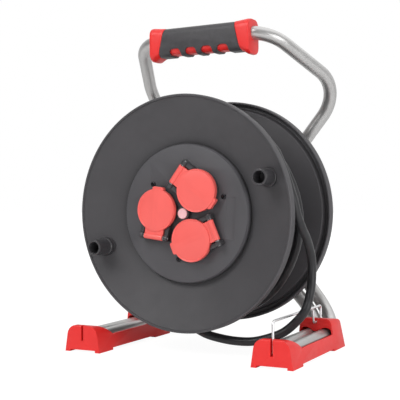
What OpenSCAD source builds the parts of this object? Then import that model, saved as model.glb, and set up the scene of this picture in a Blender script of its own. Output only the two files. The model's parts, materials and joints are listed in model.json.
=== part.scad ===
// Extension cord reel: a tube frame on two feet carries a drum with three covered sockets.
// Millimetres. +X is right seen from the front, +Y goes to the back, +Z is up.
// The origin is on the floor, in the middle of the object's width and depth.

/* [Drum] */
// Diameter of both flanges
flange_d = 290; // [282:1:296]
// Depth of the drum over both rims
drum_depth = 139; // [132:1:144]
// Outer diameter of the barrel
barrel_d = 124; // [122:1:128]
// Wall of the flanges and of the barrel
wall = 3; // [2:0.5:3.5]
// Thickness of the flange rims
rim_w = 3; // [2:0.5:4]
// Depth of the front rim's lip
lip_depth = 11; // [8:1:14]
// Depth of the dish of the front flange
dish_depth = 20.5; // [17:0.5:23]
// Width of the sunk band at the edge of the rear flange
rear_band_w = 8; // [6:1:14]
// Height of the drum's axis above the floor
axle_h = 173; // [170:1:185]

/* [Socket plate] */
// Diameter of the socket plate
plate_d = 172; // [164:1:178]
// How far the plate stands in front of the dish's floor
plate_rise = 9; // [7:0.5:12]
// Distance of the sockets from the drum's axis
socket_r = 35; // [34:0.5:36]
// Angle of the first socket
socket_angle = 52.6; // [40:0.1:64]
// Distance of the plate's screws from the drum's axis
screw_r = 57; // [56:0.5:57]
// Angle of the first screw
screw_angle = 20.7; // [10:0.1:30]
// Diameter of the screws' heads
screw_head_d = 6.2; // [5.6:0.2:8]

/* [Sockets and lids] */
// Diameter of a socket's well
well_d = 39.6; // [38:0.2:41]
// Depth of a socket's well
well_depth = 17.5; // [16:0.5:20]
// Wall of the socket insert
insert_wall = 2.8; // [2:0.2:3.2]
// Diameter of a lid
lid_d = 52; // [51:0.5:53]
// Thickness of a lid
lid_t = 6.6; // [5:0.2:7.2]
// Distance from the middle of a lid to its hinge
hinge_offset = 33; // [32:0.5:34]
// Diameter of the hinge barrel
hinge_d = 7.5; // [6.5:0.5:8]
// Length of the hinge barrel
hinge_len = 25.4; // [22:0.2:27]
// Diameter of the hinge pin
hinge_pin_d = 3; // [2:0.5:3]
// Width of a hinge ear
ear_w = 5; // [4:0.5:6]

/* [Reset button] */
// Diameter of the button
button_d = 13; // [11:0.5:14]
// How far the button stands in front of the plate
button_rise = 6.5; // [5:0.5:8]
// Travel of the button
button_travel = 2; // [1:0.5:2.5]

/* [Crank knobs] */
// Distance of the knobs from the drum's axis
knob_r = 121; // [112:1:124]
// Angle of the first knob
knob_angle = 20.4; // [10:0.1:30]
// Length of a knob
knob_len = 29; // [24:1:34]
// Diameter of a knob at its front
knob_d = 19.4; // [18:0.2:21]
// Diameter of a knob at its base
knob_base_d = 22; // [21:0.2:24]
// Bore of a knob
knob_bore_d = 15.4; // [13:0.2:16]

/* [Frame] */
// Diameter of the frame's tubes
tube_d = 17; // [16:0.5:18]
// Wall of the frame's tubes
tube_wall = 1.5; // [1:0.25:2]
// Depth at which the frame stands behind the drum
frame_y = 180; // [178:1:186]
// Distance from the middle of the object to the middle of a foot
foot_x = 129; // [127:1:134]
// Half width of the frame at its knees
knee_x = 144; // [138:1:150]
// Height of the knees
knee_z = 331; // [325:1:338]
// Half width of the frame's waist, at the corner point
waist_x = 18; // [16:1:22]
// Height of the waist above the drum's axis
waist_rise = 2; // [-3:1:5]
// Bend radius of the tubes
bend_r = 50; // [46:1:52]
// Bend radius at the waist and at the handle
tight_bend_r = 45; // [42:1:47]

/* [Feet] */
// Front end of the feet, measured from the drum's front rim
foot_front = 25; // [23:1:30]
// Length of a foot
foot_len = 175; // [170:1:180]
// Height of a foot's front cap
foot_h = 35; // [33:1:38]
// Height of the side rails
rail_h = 19.8; // [17:0.2:22]
// Thickness of the side rails
rail_w = 5.5; // [4:0.5:7]
// Height of the recess under a foot
recess_h = 2.7; // [2:0.1:3.5]

/* [Handle] */
// Height of the middle of the handle's tube
handle_z = 395; // [390:1:402]
// Depth of the middle of the handle's tube behind the front rim
handle_y = 65; // [60:1:75]
// Half length of the straight tube in the handle, at the corner points
handle_x = 91; // [88:1:96]
// Length of the handle over its end caps
handle_len = 147; // [140:1:150]
// Length of the black grip
grip_len = 110; // [96:1:116]
// Depth of the grip
grip_depth = 30; // [28:1:33]
// Height of the grip
grip_h = 37; // [35:1:39]
// Thickness of the black layer of the grip
grip_skin = 2; // [1.5:0.25:2.5]
// Number of finger windows
windows = 4; // [2:1:4]
// Distance between the finger windows
window_pitch = 22.5; // [20:0.5:24]

/* [Bearing] */
// Diameter of the axle
axle_d = 20; // [18:1:21]
// Diameter of the bearing bracket
bracket_d = 120; // [112:1:124]
// Thickness of the bearing bracket in front of the frame's plane
bracket_t = 20; // [18:1:22]
// Thickness of the bracket's cover behind the frame's plane
cover_t = 15; // [13:1:17]

/* [Cable] */
// Diameter of the cable
cable_d = 10.5; // [9.5:0.1:10.8]
// Radius of the outer layer's centre line
layer_r = 100; // [98:1:102]
// Step from one loop of the cable to the next
layer_pitch = 11.5; // [11.3:0.1:11.6]
// Diameter of the wire guide
guide_d = 2.8; // [2:0.2:3]

/* [Clearances] */
// Gap around a shaft that turns or slides in a bore, on the radius
run_gap = 0.05; // [0.03:0.01:0.08]
// Gap around a tube or screw in its seat, on the radius
seat_gap = 0.1; // [0.05:0.01:0.2]
// Gap between pieces that move past each other
move_gap = 0.3; // [0.25:0.05:0.5]

/* [Hidden] */
$fn = 64;

// Derived sizes. Depths are counted from the plane of the front rim, towards the back.
flange_r = flange_d / 2;
barrel_r = barrel_d / 2;
plate_r = plate_d / 2;
tube_r = tube_d / 2;
axle_r = axle_d / 2;
lid_r = lid_d / 2;
well_r = well_d / 2;
pin_r = hinge_pin_d / 2;
cable_r = cable_d / 2;
back_y = frame_y + cover_t;
mid_y = (back_y - foot_front) / 2;
plate_front = dish_depth - plate_rise;
web_r = plate_r + 1;
dish_in = dish_depth + wall;
rear_floor = drum_depth - 10 - wall;
rear_out = rear_floor + wall;

// A bend is this much thicker than the straights that reach into it
lap_step = 0.05;
// How far a straight reaches into its bends
lap = 1;

// Points on a bent tube
function unit(v) = v / norm(v);
function half_angle(p, i) = acos(unit(p[i - 1] - p[i]) * unit(p[i + 1] - p[i])) / 2;
function trimmed(p, r, i) = (i == 0 || i == len(p) - 1) ? 0 : r[i - 1] / tan(half_angle(p, i));
function along(a, b, d) = a + unit(b - a) * d;

// A straight round bar from a to b, longer by the given length at both ends
module bar(a, b, r, more = 0) {
    d = unit(b - a);
    translate(a - d * more) rotate([0, acos(d[2]), atan2(d[1], d[0])])
        cylinder(h = norm(b - a) + 2 * more, r = r);
}

// One bend of a tube about corner point i
module bend(p, r, i, tube) {
    half = half_angle(p, i);
    to_a = unit(p[i - 1] - p[i]);
    to_b = unit(p[i + 1] - p[i]);
    centre = p[i] + unit(to_a + to_b) * r[i - 1] / sin(half);
    x = unit(p[i] + to_a * trimmed(p, r, i) - centre);
    z = unit(cross(x, -to_a));
    y = cross(z, x);
    multmatrix([
        [x[0], y[0], z[0], centre[0]],
        [x[1], y[1], z[1], centre[1]],
        [x[2], y[2], z[2], centre[2]],
        [0, 0, 0, 1]
    ])
        rotate_extrude(angle = 180 - 2 * half) translate([r[i - 1], 0]) circle(r = tube, $fn = 48);
}

// The straights and bends of a round bar from corner point i to corner point j
module bar_run(p, r, tube, i, j) {
    for (k = [i:j - 1])
        bar(along(p[k], p[k + 1], trimmed(p, r, k)),
            along(p[k + 1], p[k], trimmed(p, r, k + 1)), tube, lap);
    for (k = [max(i, 1):min(j, len(p) - 2)]) bend(p, r, k, tube + lap_step);
}

module bent_bar(p, r, tube) { bar_run(p, r, tube, 0, len(p) - 1); }

module bent_tube(p, r, tube, wall) {
    difference() {
        bent_bar(p, r, tube);
        bar_run(open_ended(p), r, tube - wall, 0, len(p) - 1);
    }
}

// The same points with both ends moved out, so that a bore runs through
function open_ended(p) = [
    for (i = [0:len(p) - 1]) i == 0 ? along(p[0], p[1], -2)
        : i == len(p) - 1 ? along(p[i], p[i - 1], -2) : p[i]
];

// Places what is drawn behind the front rim's plane, on the floor
module in_frame() { translate([0, -mid_y, 0]) children(); }

// Places what is drawn around the drum's axis, with +Z pointing to the front
module on_drum() { in_frame() translate([0, 0, axle_h]) rotate([90, 0, 0]) children(); }

// A ring around the drum's axis, from one depth to another
module ring(r, r_in, from, to) {
    translate([0, 0, -to]) difference() {
        cylinder(h = to - from, r = r);
        translate([0, 0, -1]) cylinder(h = to - from + 2, r = r_in);
    }
}

// A block given by its lowest and highest corner
module block(low, high) { translate(low) cube(high - low); }

// ---------- Frame ----------
tube_gap = 1.5;
tube_pitch = tube_d + tube_gap;
foot_y = -foot_front;
tube_z = 17;
tube_front = -18;
bow_x = foot_x + tube_pitch / 2;
low_x = foot_x - tube_pitch / 2;
low_y = frame_y - 4;
apex_z = axle_h - 23;
bow_half = [
    [bow_x, tube_front, tube_z], [bow_x, frame_y, tube_z], [waist_x, frame_y, axle_h + waist_rise],
    [knee_x, frame_y, knee_z], [handle_x, handle_y, handle_z]
];
function mirrored(p) = [for (i = [len(p) - 1:-1:0]) [-p[i][0], p[i][1], p[i][2]]];
bow_points = concat(bow_half, mirrored(bow_half));
bow_bends = [bend_r, tight_bend_r, bend_r, tight_bend_r, tight_bend_r, bend_r, tight_bend_r, bend_r];
low_half = [[low_x, tube_front, tube_z], [low_x, low_y, tube_z]];
low_points = concat(low_half, [[0, low_y, apex_z]], mirrored(low_half));
low_bends = [bend_r, tight_bend_r, bend_r];

rivet_y = 60;
rivet_r = 2;
rivet_head_r = 4;
rivet_head_t = 1.2;

module rivet_holes() {
    for (x = [-bow_x, -low_x, low_x, bow_x])
        translate([x, rivet_y, 0]) cylinder(h = tube_z, r = rivet_r + seat_gap);
}

module frame_bow() {
    color("silver") in_frame() difference() {
        bent_tube(bow_points, bow_bends, tube_r, tube_wall);
        rivet_holes();
    }
}

module lower_bow() {
    color("silver") in_frame() difference() {
        bent_tube(low_points, low_bends, tube_r, tube_wall);
        rivet_holes();
    }
}

// ---------- Feet ----------
side_gap = 2.75;
foot_half = tube_pitch / 2 + tube_r + side_gap + rail_w;
foot_back = foot_y + foot_len;
seat_z = tube_z - tube_r;
rear_cap_len = 40;
rear_cap_h = foot_h + 4.5;
seat_r = tube_r + 2.3;
cap_front = foot_back - rear_cap_len;
slot_w = guide_d + 0.4;
guide_y = -20;
guide_rear = cap_front + 22;
guide_low = rear_cap_h - 5.3;

// The foot seen from the front: leaning sides and a rounded top, softer at the front cap
module foot_front_outline(h, soft) {
    polygon([
        [-foot_half, 0], [-foot_half + 4.6, h - 6 - soft], [-foot_half + 7 + soft / 3, h - 3 - soft / 2],
        [-foot_half + 10.5 + soft / 2, h - 1 - soft / 8], [-foot_half + 15 + soft / 2, h],
        [foot_half - 15 - soft / 2, h], [foot_half - 10.5 - soft / 2, h - 1 - soft / 8],
        [foot_half - 7 - soft / 3, h - 3 - soft / 2], [foot_half - 4.6, h - 6 - soft], [foot_half, 0]
    ]);
}

// The foot seen from the side: front cap, low rails, rear cap
module foot_side_outline() {
    polygon([
        [foot_y, 0], [foot_y, foot_h - 1.5], [foot_y + 2, foot_h - 0.3], [foot_y + 6, foot_h],
        [foot_y + 13, foot_h - 1.5], [foot_y + 23, foot_h - 6], [foot_y + 31, foot_h - 11],
        [foot_y + 37, rail_h + 1], [foot_y + 42, rail_h], [cap_front - 6, rail_h],
        [cap_front - 2, rail_h + 2], [cap_front, rail_h + 6], [cap_front + 1, rear_cap_h - 6],
        [cap_front + 3, rear_cap_h - 1.5], [cap_front + 7, rear_cap_h],
        [foot_back - 10, rear_cap_h], [foot_back - 5, rear_cap_h - 2.5], [foot_back, 0]
    ]);
}

module foot_blank() {
    middle = foot_y + foot_len / 2;
    intersection() {
        union() {
            rotate([90, 0, 0]) translate([0, 0, -middle])
                linear_extrude(foot_len) foot_front_outline(foot_h, 4);
            rotate([90, 0, 0]) translate([0, 0, -foot_back - 1])
                linear_extrude(foot_back + 1 - middle) foot_front_outline(rear_cap_h, 0);
        }
        rotate([90, 0, 90]) translate([0, 0, -foot_half])
            linear_extrude(2 * foot_half) foot_side_outline();
    }
}

module foot_shape() {
    difference() {
        foot_blank();
        // trough between the rails
        block([-foot_half + rail_w, foot_y + 30, seat_z],
            [foot_half - rail_w, cap_front - 2, rear_cap_h + 1]);
        // deeper round recesses for the tubes in the rear cap
        for (s = [-1, 1]) translate([s * tube_pitch / 2, cap_front + 18, tube_z]) rotate([90, 0, 0])
            cylinder(h = 30, r = seat_r);
        // recess under the foot, open at the front and at both sides between the pads
        block([-foot_half - 1, foot_y + 31, -1], [foot_half + 1, cap_front, recess_h]);
        block([-foot_half + 7, foot_y - 1, -1], [foot_half - 7, foot_y + 32, recess_h]);
        // open slot for the front leg of the wire guide
        block([-slot_w / 2, foot_y - 1, tube_z - 3], [slot_w / 2, foot_y + 8, foot_h + 1]);
        // groove for the rear end of the wire guide
        block([-slot_w / 2, cap_front - 6, guide_low - slot_w / 2],
            [slot_w / 2, guide_rear + 3, rear_cap_h + 1]);
    }
}

// The run of both bows on one side, from their front ends to past their first bends
module tube_seats(side) {
    for (s = [0, 1]) {
        p = s == 0 ? bow_points : low_points;
        r = s == 0 ? bow_bends : low_bends;
        m = len(p) - 1;
        bar_run(p, r, tube_r + seat_gap, side > 0 ? 0 : m - 1, side > 0 ? 1 : m);
    }
}

module foot(side) {
    color("red") in_frame() difference() {
        translate([side * foot_x, 0, 0]) foot_shape();
        tube_seats(side);
        rivet_holes();
    }
}

module foot_left() { foot(-1); }
module foot_right() { foot(1); }

module foot_rivets() {
    color("gray") in_frame() for (x = [-bow_x, -low_x, low_x, bow_x]) translate([x, rivet_y, 0]) {
        translate([0, 0, recess_h - rivet_head_t]) cylinder(h = rivet_head_t, r = rivet_head_r);
        translate([0, 0, recess_h]) cylinder(h = seat_z + tube_wall + 1 - recess_h, r = rivet_r);
    }
}

// Bent spring wire that keeps the cable beside the right foot
guide_top = 53;
guide_foot = 17;
guide_points = [
    [foot_x, guide_y, guide_foot], [foot_x, guide_y, guide_top],
    [foot_x, guide_rear + 1, guide_top], [foot_x, guide_rear - 1, guide_low],
    [foot_x, cap_front - 2, guide_low], [foot_x, cap_front - 6, guide_top - guide_d]
];
guide_bends = [5, 4, 4, 4];
module cable_guide() {
    color("silver") in_frame() bent_bar(guide_points, guide_bends, guide_d / 2);
}

// ---------- Bearing ----------
boss_r = axle_r + 10;
collar_t = 2;
bush_collar_r = axle_r + 6;
hub_r = axle_r + 7;
hub_in = axle_r + 3;
hub_front = 64;
boss_front = drum_depth + collar_t + move_gap;
bracket_front = frame_y - bracket_t;
bracket_screw_r = 2.5;
bracket_screw_places = [[-16, 34], [16, 34], [-51, -2], [51, -2]];
axle_front = hub_front - collar_t - 6;
clip_groove = axle_front + 2;
clip_t = 1.5;
clip_r = axle_r + 3;
washer_r = axle_r + 5;
axle_back = back_y - 4;

// The round bracket from one depth to another, with its seats for the tubes and the axle
module bracket_disc(from, to) {
    ring(bracket_d / 2, axle_r + seat_gap, from, to);
}

// The parts of both bows that run through the bracket
module bracket_seats() {
    bar_run(bow_points, bow_bends, tube_r + seat_gap, 1, 3);
    bar_run(bow_points, bow_bends, tube_r + seat_gap, 6, 8);
    bar_run(low_points, low_bends, tube_r + seat_gap, 1, 3);
}

module bracket_screw_holes() {
    for (p = bracket_screw_places)
        translate([p[0], p[1], -back_y - 1]) cylinder(h = cover_t + 16, r = bracket_screw_r + seat_gap);
}

module bearing_bracket() {
    color("dimgray") difference() {
        on_drum() difference() {
            union() {
                bracket_disc(bracket_front, frame_y);
                ring(boss_r, axle_r + seat_gap, boss_front, bracket_front + 1);
            }
            bracket_screw_holes();
        }
        in_frame() bracket_seats();
    }
}

module bracket_cover() {
    color("dimgray") difference() {
        on_drum() difference() {
            union() {
                bracket_disc(frame_y, back_y);
                ring(axle_r + 1, 0, axle_back + seat_gap, back_y);
            }
            bracket_screw_holes();
            for (p = bracket_screw_places)
                translate([p[0], p[1], -back_y - 1]) cylinder(h = 4, r = 2 * bracket_screw_r + seat_gap);
        }
        in_frame() bracket_seats();
    }
}

module bracket_screws() {
    color("silver") on_drum() for (p = bracket_screw_places) translate([p[0], p[1], 0]) {
        translate([0, 0, -back_y + 0.5]) cylinder(h = 2.5, r = 2 * bracket_screw_r);
        translate([0, 0, -back_y + 3]) cylinder(h = cover_t + 10, r = bracket_screw_r);
    }
}

module axle() {
    color("silver") on_drum() difference() {
        ring(axle_r, axle_r - 3, axle_front, axle_back);
        ring(axle_r + 1, axle_r - 1, clip_groove, clip_groove + clip_t + 2 * seat_gap);
    }
}

module axle_clip() {
    color("gray") on_drum() difference() {
        ring(clip_r, axle_r - 1 + seat_gap, clip_groove + seat_gap, clip_groove + seat_gap + clip_t);
        translate([-2, 0, -clip_groove - 4]) cube([4, clip_r + 1, 5]);
    }
}

module axle_washer() {
    from = clip_groove + clip_t + 2 * seat_gap;
    color("silver") on_drum() ring(washer_r, axle_r + seat_gap, from, hub_front - collar_t - move_gap);
}

// ---------- Handle ----------
shell_gap = 0.1;
handle_corner = 4;
cap_h = grip_h + 7;
cap_top = 4.5;
grip_top = 12.5;
handle_screw_x = (handle_len + grip_len) / 4;

// A rounded cross-section of the handle: depth along X, height along Y, tube centre at the origin
module handle_section(depth, height, top, corner) {
    w = depth / 2 - corner;
    h0 = top - height + corner;
    h1 = top - corner;
    for (x = [-w, w]) for (h = [h0, h1]) translate([x, h]) circle(r = corner);
    translate([-w, h0 - corner]) square([2 * w, h1 - h0 + 2 * corner]);
    translate([-w - corner, h0]) square([2 * (w + corner), h1 - h0]);
}

module along_handle(from, to) {
    translate([0, handle_y, handle_z]) rotate([90, 0, 90]) translate([0, 0, from])
        linear_extrude(to - from) children();
}

module grip_outer() { handle_section(grip_depth, grip_h, grip_top, 9); }
module grip_inner() {
    handle_section(grip_depth - 2 * grip_skin, grip_h - 2 * grip_skin, grip_top - grip_skin, 8);
}

// Everything above or below the middle plane of the handle's tube
module handle_half(upper) {
    low = upper ? handle_z + shell_gap : handle_z - 60;
    high = upper ? handle_z + 60 : handle_z - shell_gap;
    block([-handle_len, handle_y - 40, low], [handle_len, handle_y + 40, high]);
}

// Shallow hollows for the fingers, under the grip
module finger_hollows(extra) {
    for (i = [0:windows - 1])
        translate([
            (i - (windows - 1) / 2) * window_pitch, handle_y,
            handle_z + grip_top - grip_h - 15.5 + extra
        ])
            rotate([90, 0, 0]) cylinder(h = 60, r = 17, center = true);
}

module finger_windows() {
    for (i = [0:windows - 1])
        translate([
            (i - (windows - 1) / 2) * window_pitch - 7.5, handle_y - 30,
            handle_z + grip_top - grip_h + 2.5
        ])
            cube([15, 60, 9]);
}

module handle_shell_whole() {
    difference() {
        union() {
            along_handle(-grip_len / 2, grip_len / 2) grip_inner();
            for (s = [-1, 1]) along_handle(
                s > 0 ? grip_len / 2 : -handle_len / 2, s > 0 ? handle_len / 2 : -grip_len / 2)
                handle_section(grip_depth + 1, cap_h, grip_top + cap_top, 10);
        }
        bar_run(bow_points, bow_bends, tube_r + seat_gap, handle_corner, handle_corner + 1);
        handle_screw_holes();
    }
}

handle_screw_y = 11.5;
module handle_screw_holes() {
    for (x = [-handle_screw_x, handle_screw_x]) for (y = [-handle_screw_y, handle_screw_y])
        translate([x, handle_y + y, handle_z + grip_top - grip_h - 6]) {
            cylinder(h = grip_h + 4, r = 1.5 + seat_gap);
            cylinder(h = 10, r = 2.8 + seat_gap);
        }
}

module handle_shell_upper() {
    color("red") in_frame() intersection() { handle_shell_whole(); handle_half(true); }
}

module handle_shell_lower() {
    color("red") in_frame() difference() {
        intersection() { handle_shell_whole(); handle_half(false); }
        finger_hollows(0);
    }
}

module grip_whole() {
    along_handle(-grip_len / 2 + shell_gap, grip_len / 2 - shell_gap) difference() {
        grip_outer();
        grip_inner();
    }
}

module grip_upper() {
    color("black") in_frame() intersection() { grip_whole(); handle_half(true); }
}

module grip_lower() {
    color("black") in_frame() difference() {
        intersection() { grip_whole(); handle_half(false); }
        finger_hollows(-grip_skin);
        finger_windows();
    }
}

module handle_screws() {
    head_z = handle_z + grip_top - grip_h;
    color("gray") in_frame()
        for (x = [-handle_screw_x, handle_screw_x]) for (y = [-handle_screw_y, handle_screw_y])
            translate([x, handle_y + y, head_z]) {
                translate([0, 0, 1.5]) cylinder(h = 2.5, r = 2.8);
                translate([0, 0, 4]) cylinder(h = grip_h - 11, r = 1.5);
            }
}

// ---------- Drum ----------
cone_front = 1.5;
knob_seat = 9.4;
knob_boss_r = knob_base_d / 2 + 1;
knob_boss_t = 6;
tie_boss_r = 4.5;
tie_r = 1.8;
tie_len = 40;
web_in = barrel_r - 14;

// Places children at the angles of a pattern of three
module three(angle, r) {
    for (i = [0:2]) rotate(angle + 120 * i) translate([r, 0, 0]) children();
}

module at_knobs() {
    for (i = [0, 1]) rotate(knob_angle + 180 * i) translate([knob_r, 0, 0]) children();
}

module front_flange() {
    lip_in = flange_r - rim_w;
    color("black") on_drum() difference() {
        union() {
            rotate_extrude($fn = 180) polygon([
                [flange_r, 0], [flange_r, -lip_depth], [lip_in, -lip_depth],
                [lip_in, -cone_front - wall], [web_r, -dish_in], [web_in, -dish_in],
                [web_in, -dish_depth], [web_r, -dish_depth], [lip_in, -cone_front], [lip_in, 0]
            ]);
            at_knobs() translate([0, 0, -knob_seat - knob_boss_t])
                cylinder(h = knob_boss_t, r = knob_boss_r);
        }
        at_knobs() {
            translate([0, 0, -knob_seat - knob_boss_t - 1])
                cylinder(h = knob_boss_t + 2, r = stud_r + seat_gap);
            translate([0, 0, -knob_seat]) cylinder(h = knob_seat + 1, r = knob_base_d / 2 + move_gap);
        }
        three(socket_angle, socket_r) translate([0, 0, -dish_in - 1])
            cylinder(h = wall + 2, r = insert_r + 2 * move_gap);
        three(screw_angle, screw_r) translate([0, 0, -dish_in - 1])
            cylinder(h = wall + 2, r = tie_r + seat_gap);
    }
}

module rear_flange() {
    band_r = flange_r - rim_w - rear_band_w + 2;
    lip_in = flange_r - rim_w;
    groove = rear_out + 5.5;
    color("black") on_drum() rotate_extrude($fn = 180) polygon([
        [flange_r, -drum_depth], [flange_r, -rear_floor - 1], [lip_in, -rear_floor - 1],
        [lip_in - 0.5, -groove], [band_r + 0.5, -groove], [band_r - 1, -rear_floor],
        [hub_in, -rear_floor], [hub_in, -rear_out], [band_r - 3.5, -rear_out],
        [band_r - 2.5, -groove - wall], [lip_in - 1, -groove - wall], [lip_in, -drum_depth]
    ]);
}

module drum_barrel() {
    color("black") on_drum() difference() {
        union() {
            ring(barrel_r, barrel_r - wall + 0.5, dish_in, rear_floor);
            three(screw_angle, screw_r)
                translate([0, 0, -dish_in - tie_len]) cylinder(h = tie_len - 0.5, r = tie_boss_r);
        }
        three(screw_angle, screw_r)
            translate([0, 0, -dish_in - tie_len + 3]) cylinder(h = tie_len, r = tie_r + seat_gap);
        rotate(lead_angle) translate([barrel_r - 8, 0, -lead_y]) rotate([0, 90, 0])
            cylinder(h = 12, r = gland_r + seat_gap);
    }
}

module drum_hub() {
    color("black") on_drum() {
        ring(hub_r, hub_in, hub_front, rear_floor);
        ring(hub_r, hub_in, rear_out, drum_depth);
    }
}

module bush(collar_from, sleeve_from, sleeve_to) {
    color("ivory") on_drum() {
        ring(bush_collar_r, axle_r + run_gap, collar_from, collar_from + collar_t);
        ring(hub_in, axle_r + run_gap, sleeve_from, sleeve_to);
    }
}

module bush_front() { bush(hub_front - collar_t, hub_front, hub_front + 18); }
module bush_rear() { bush(drum_depth, drum_depth - 24, drum_depth); }

// ---------- Socket plate ----------
plate_in = plate_front + wall;
insert_r = well_r + insert_wall;
collar_r = lid_r - 1;
lid_under = 6.6;
lid_front = lid_under - lid_t;
collar_front = lid_under + 0.4;
hinge_lift = 5;
hinge_y = plate_front - hinge_d / 2 - hinge_lift;
button_hole_r = 7.6;
label_w = 50;
label_h = 12;
label_r = 62;
label_angle = -5;

module at_socket(i) { on_drum() rotate(socket_angle + 120 * i) translate([socket_r, 0, 0]) children(); }

module socket_plate() {
    color("dimgray") on_drum() difference() {
        union() {
            rotate_extrude($fn = 120) polygon([
                [0, -plate_in], [plate_r - wall - 2, -plate_in], [plate_r - wall, -dish_depth],
                [plate_r, -dish_depth], [plate_r - 1, -plate_front - 1.5],
                [plate_r - 2, -plate_front], [0, -plate_front]
            ]);
            three(screw_angle, screw_r) translate([0, 0, -dish_depth])
                cylinder(h = dish_depth - plate_in + 1, r = tie_boss_r);
        }
        three(socket_angle, socket_r) translate([0, 0, -plate_in - 1])
            cylinder(h = wall + 2, r = insert_r + seat_gap);
        translate([0, 0, -plate_in - 1]) cylinder(h = wall + 2, r = button_hole_r + seat_gap);
        three(screw_angle, screw_r) {
            translate([0, 0, -dish_depth - 1]) cylinder(h = 20, r = tie_r + seat_gap);
            translate([0, 0, -plate_front - 1.5]) cylinder(h = 5, r = screw_head_d / 2 + 0.4);
        }
        rotate(label_angle) translate([label_r - label_h / 2, -label_w / 2, -plate_front - 0.6])
            cube([label_h, label_w, 2]);
    }
}

module plate_screws() {
    head_back = plate_front + 1.5;
    color("black") on_drum() three(screw_angle, screw_r) {
        translate([0, 0, -head_back]) cylinder(h = 2.2, r = screw_head_d / 2);
        translate([0, 0, -head_back - 34]) cylinder(h = 34, r = tie_r);
    }
}

pin_pitch = 19;
pin_hole_r = 2.7;
insert_back = collar_front + well_depth + 3;
spring_w = 1.3;
ear_x = hinge_len / 2 + spring_w + 2 * move_gap;

// A socket insert: collar on the plate, well, and the two ears of the lid's hinge
module socket_insert(i) {
    color("black") at_socket(i) difference() {
        union() {
            ring(insert_r, 0, collar_front, insert_back);
            ring(collar_r, 0, collar_front, plate_front);
            for (s = [-1, 1]) block(
                [s > 0 ? ear_x : -ear_x - ear_w, collar_r - 12, -plate_front],
                [s > 0 ? ear_x + ear_w : -ear_x, hinge_offset + hinge_d / 2, -hinge_y]);
            for (s = [-1, 1]) translate([s > 0 ? ear_x : -ear_x - ear_w, hinge_offset, -hinge_y])
                rotate([0, 90, 0]) cylinder(h = ear_w, r = hinge_d / 2);
        }
        translate([0, 0, -collar_front - well_depth]) cylinder(h = well_depth + 20, r = well_r);
        // seat of the lid's seal
        ring(seal_r + seal_w, seal_r, 0, collar_front + 1.6);
        // room for the lid's edge next to the ears
        translate([0, 0, -collar_front]) cylinder(h = 20, r = lid_r + 1);
        for (x = [-pin_pitch / 2, pin_pitch / 2])
            translate([x, 0, -insert_back - 1]) cylinder(h = 8, r = pin_hole_r);
        for (s = [-1, 1]) translate([-4, s > 0 ? well_r - 1.4 : -well_r - 0.6, -insert_back - 1])
            cube([8, 2, 16]);
        translate([-ear_x - ear_w - 1, hinge_offset, -hinge_y]) rotate([0, 90, 0])
            cylinder(h = 2 * (ear_x + ear_w + 1), r = pin_r);
    }
}

module socket_insert_1() { socket_insert(0); }
module socket_insert_2() { socket_insert(1); }
module socket_insert_3() { socket_insert(2); }

module earth_clips() {
    color("gold") for (i = [0:2]) at_socket(i) for (s = [-1, 1])
        block([-3.8, s > 0 ? well_r - 1.2 : -well_r - 0.3, -insert_back - 4],
            [3.8, s > 0 ? well_r + 0.3 : -well_r + 1.2, -insert_back + 14]);
}

contact_len = 9;
module live_contacts() {
    color("gold") for (i = [0:2]) at_socket(i) for (x = [-pin_pitch / 2, pin_pitch / 2])
        translate([x, 0, 0]) ring(pin_hole_r + 0.8, pin_hole_r, insert_back, insert_back + contact_len);
}

// ---------- Lids ----------
seal_r = well_r + 1;
seal_w = 2.4;
tab_w = 15;
tab_reach = 2.6;
lid_wall = 2.8;

module lid(i) {
    neck_in = sqrt(lid_r * lid_r - hinge_len * hinge_len / 4) - 1;
    color("red") at_socket(i) difference() {
        union() {
            rotate_extrude() polygon([
                [0, -lid_under], [lid_r, -lid_under], [lid_r, -lid_front - 3],
                [lid_r - 1.5, -lid_front - 1], [lid_r - 4, -lid_front - 0.2], [0, -lid_front]
            ]);
            translate([0, 0, -lid_under]) linear_extrude(lid_t - 1.2) polygon([
                [-hinge_len / 2, neck_in], [hinge_len / 2, neck_in], [hinge_len / 2, hinge_offset],
                [-hinge_len / 2, hinge_offset]
            ]);
            translate([-hinge_len / 2, hinge_offset, -hinge_y]) rotate([0, 90, 0])
                cylinder(h = hinge_len, r = hinge_d / 2);
            block([-tab_w / 2, -lid_r - tab_reach, -lid_under], [tab_w / 2, -lid_r + 3, -lid_front - 0.8]);
        }
        translate([-hinge_len, hinge_offset, -hinge_y]) rotate([0, 90, 0])
            cylinder(h = 2 * hinge_len, r = pin_r + run_gap);
        translate([0, 0, -lid_under - 1]) cylinder(h = 1 + lid_t - lid_wall, r = well_r);
    }
}

module lid_1() { lid(0); }
module lid_2() { lid(1); }
module lid_3() { lid(2); }

module lid_seal(i) {
    color("black") at_socket(i)
        ring(seal_r + seal_w - 0.3, seal_r + 0.3, lid_under, collar_front + 1.2);
}

module lid_seal_1() { lid_seal(0); }
module lid_seal_2() { lid_seal(1); }
module lid_seal_3() { lid_seal(2); }

module lid_pins() {
    color("silver") for (i = [0:2]) at_socket(i)
        translate([-ear_x - ear_w - 0.5, hinge_offset, -hinge_y]) rotate([0, 90, 0])
            cylinder(h = 2 * (ear_x + ear_w + 0.5), r = pin_r);
}

module lid_springs() {
    color("silver") for (i = [0:2]) at_socket(i) for (x = [hinge_len / 2 + move_gap, -ear_x + move_gap])
        translate([x, hinge_offset, -hinge_y]) rotate([0, 90, 0]) difference() {
            cylinder(h = spring_w, r = hinge_d / 2 - 0.5);
            translate([0, 0, -1]) cylinder(h = spring_w + 2, r = pin_r + 0.1);
        }
}

// ---------- Reset button ----------
cutout_r = 9.5;
cutout_back = plate_in + 32;
stem_r = 4;
button_front = plate_front - button_rise;
shoulder = plate_front + 1;
button_r = button_d / 2;

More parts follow.
